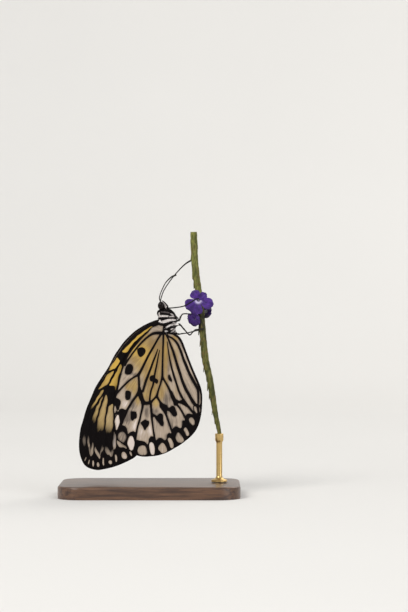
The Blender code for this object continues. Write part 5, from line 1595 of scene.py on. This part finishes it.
def add_light(name, place, aim, size, power, colour=(1, 1, 1)):
    light = bpy.data.lights.new(name, "AREA")
    light.size = size
    light.energy = power
    light.color = colour
    lamp = bpy.data.objects.new(name, light)
    bpy.context.scene.collection.objects.link(lamp)
    lamp.location = place
    lamp.rotation_euler = (Vector(aim) - Vector(place)).to_track_quat("-Z", "Y").to_euler()


def make_studio():
    scene = bpy.context.scene
    scene.view_settings.view_transform = "Standard"
    world = bpy.data.worlds.new("studio")
    scene.world = world
    world.use_nodes = True
    world.node_tree.nodes["Background"].inputs["Color"].default_value = (0.97, 0.98, 1.0, 1)
    world.node_tree.nodes["Background"].inputs["Strength"].default_value = 0.6
    aim = (0.0, 0.0, 0.055)
    add_light("key", (-0.9, -1.3, 1.2), aim, 0.9, 24.0, (1.0, 0.98, 0.94))
    add_light("fill", (1.4, -1.2, 0.6), aim, 1.2, 9.0)
    add_light("rim", (0.8, 0.9, 1.1), aim, 0.8, 7.0, (1.0, 0.97, 0.92))


def make_camera():
    """Level with the butterfly and square to its wings, framed as the photograph is."""
    distance = 0.8
    middle = (np.array(PHOTO_SIZE) / 2 - ZERO_PIXEL) * MM_PER_PIXEL * MM * (1, -1)
    camera = bpy.data.cameras.new("camera")
    camera.sensor_width = 36
    camera.lens = camera.sensor_width * distance / (PHOTO_SIZE[1] * MM_PER_PIXEL * MM)
    camera.clip_start = 0.01
    eye = bpy.data.objects.new("camera", camera)
    bpy.context.scene.collection.objects.link(eye)
    eye.location = (middle[0], -distance, middle[1])
    eye.rotation_euler = (math.pi / 2, 0, 0)
    bpy.context.scene.camera = eye


def make_butterfly():
    scales = wing_scales()
    fore_sheet = wing_grid(FORE_OUTLINE, FORE_VEINS)
    hind_sheet = wing_grid(HIND_OUTLINE, [[row[:2] for row in line] for line in HIND_VEINS.values()])
    wings = {
        "fore": (fore_sheet, forewing_marks(fore_sheet[0]), wing_stand, FORE_HINGE),
        "hind": (hind_sheet, hindwing_marks(hind_sheet[0]), hindwing_stand, HIND_HINGE),
    }
    for side_name in SIDES:
        for kind, form in wings.items():
            make_wing(kind, side_name, scales, *form)
    body = body_scales()
    skin = make_skin(body)

    def on_thorax(places):
        return (places[:, 2] > HAIR_LINE) * (places[:, 0] < BARE_LEGS)

    def on_abdomen(places):
        return places[:, 2] <= HAIR_LINE

    add_hairs(skin, body, "thorax_hair", on_thorax, *THORAX_HAIR)
    add_hairs(skin, body, "abdomen_hair", on_abdomen, *ABDOMEN_HAIR)
    make_eyes(eye_gloss())
    make_palps(body)
    dark = dark_limb()
    for node, rows in ANTENNAE.items():
        feeler = node.replace("antenna", "feeler")
        limb_piece(feeler, mirrored(rows, side_of(node)), 12, dark, node, 0.07, rings=ANTENNA_RING)
    limb_piece("tongue", PROBOSCIS, 12, dark, "proboscis", 0.1, rings=TONGUE_RING)
    make_legs(leg_scales())


make_butterfly()
make_spike(stem_skin())
make_flowers(petal_velvet(), tube_velvet())
make_plinth(dark_wood())
make_rod(satin_brass())
make_stage(studio_paper())
make_studio()
make_camera()
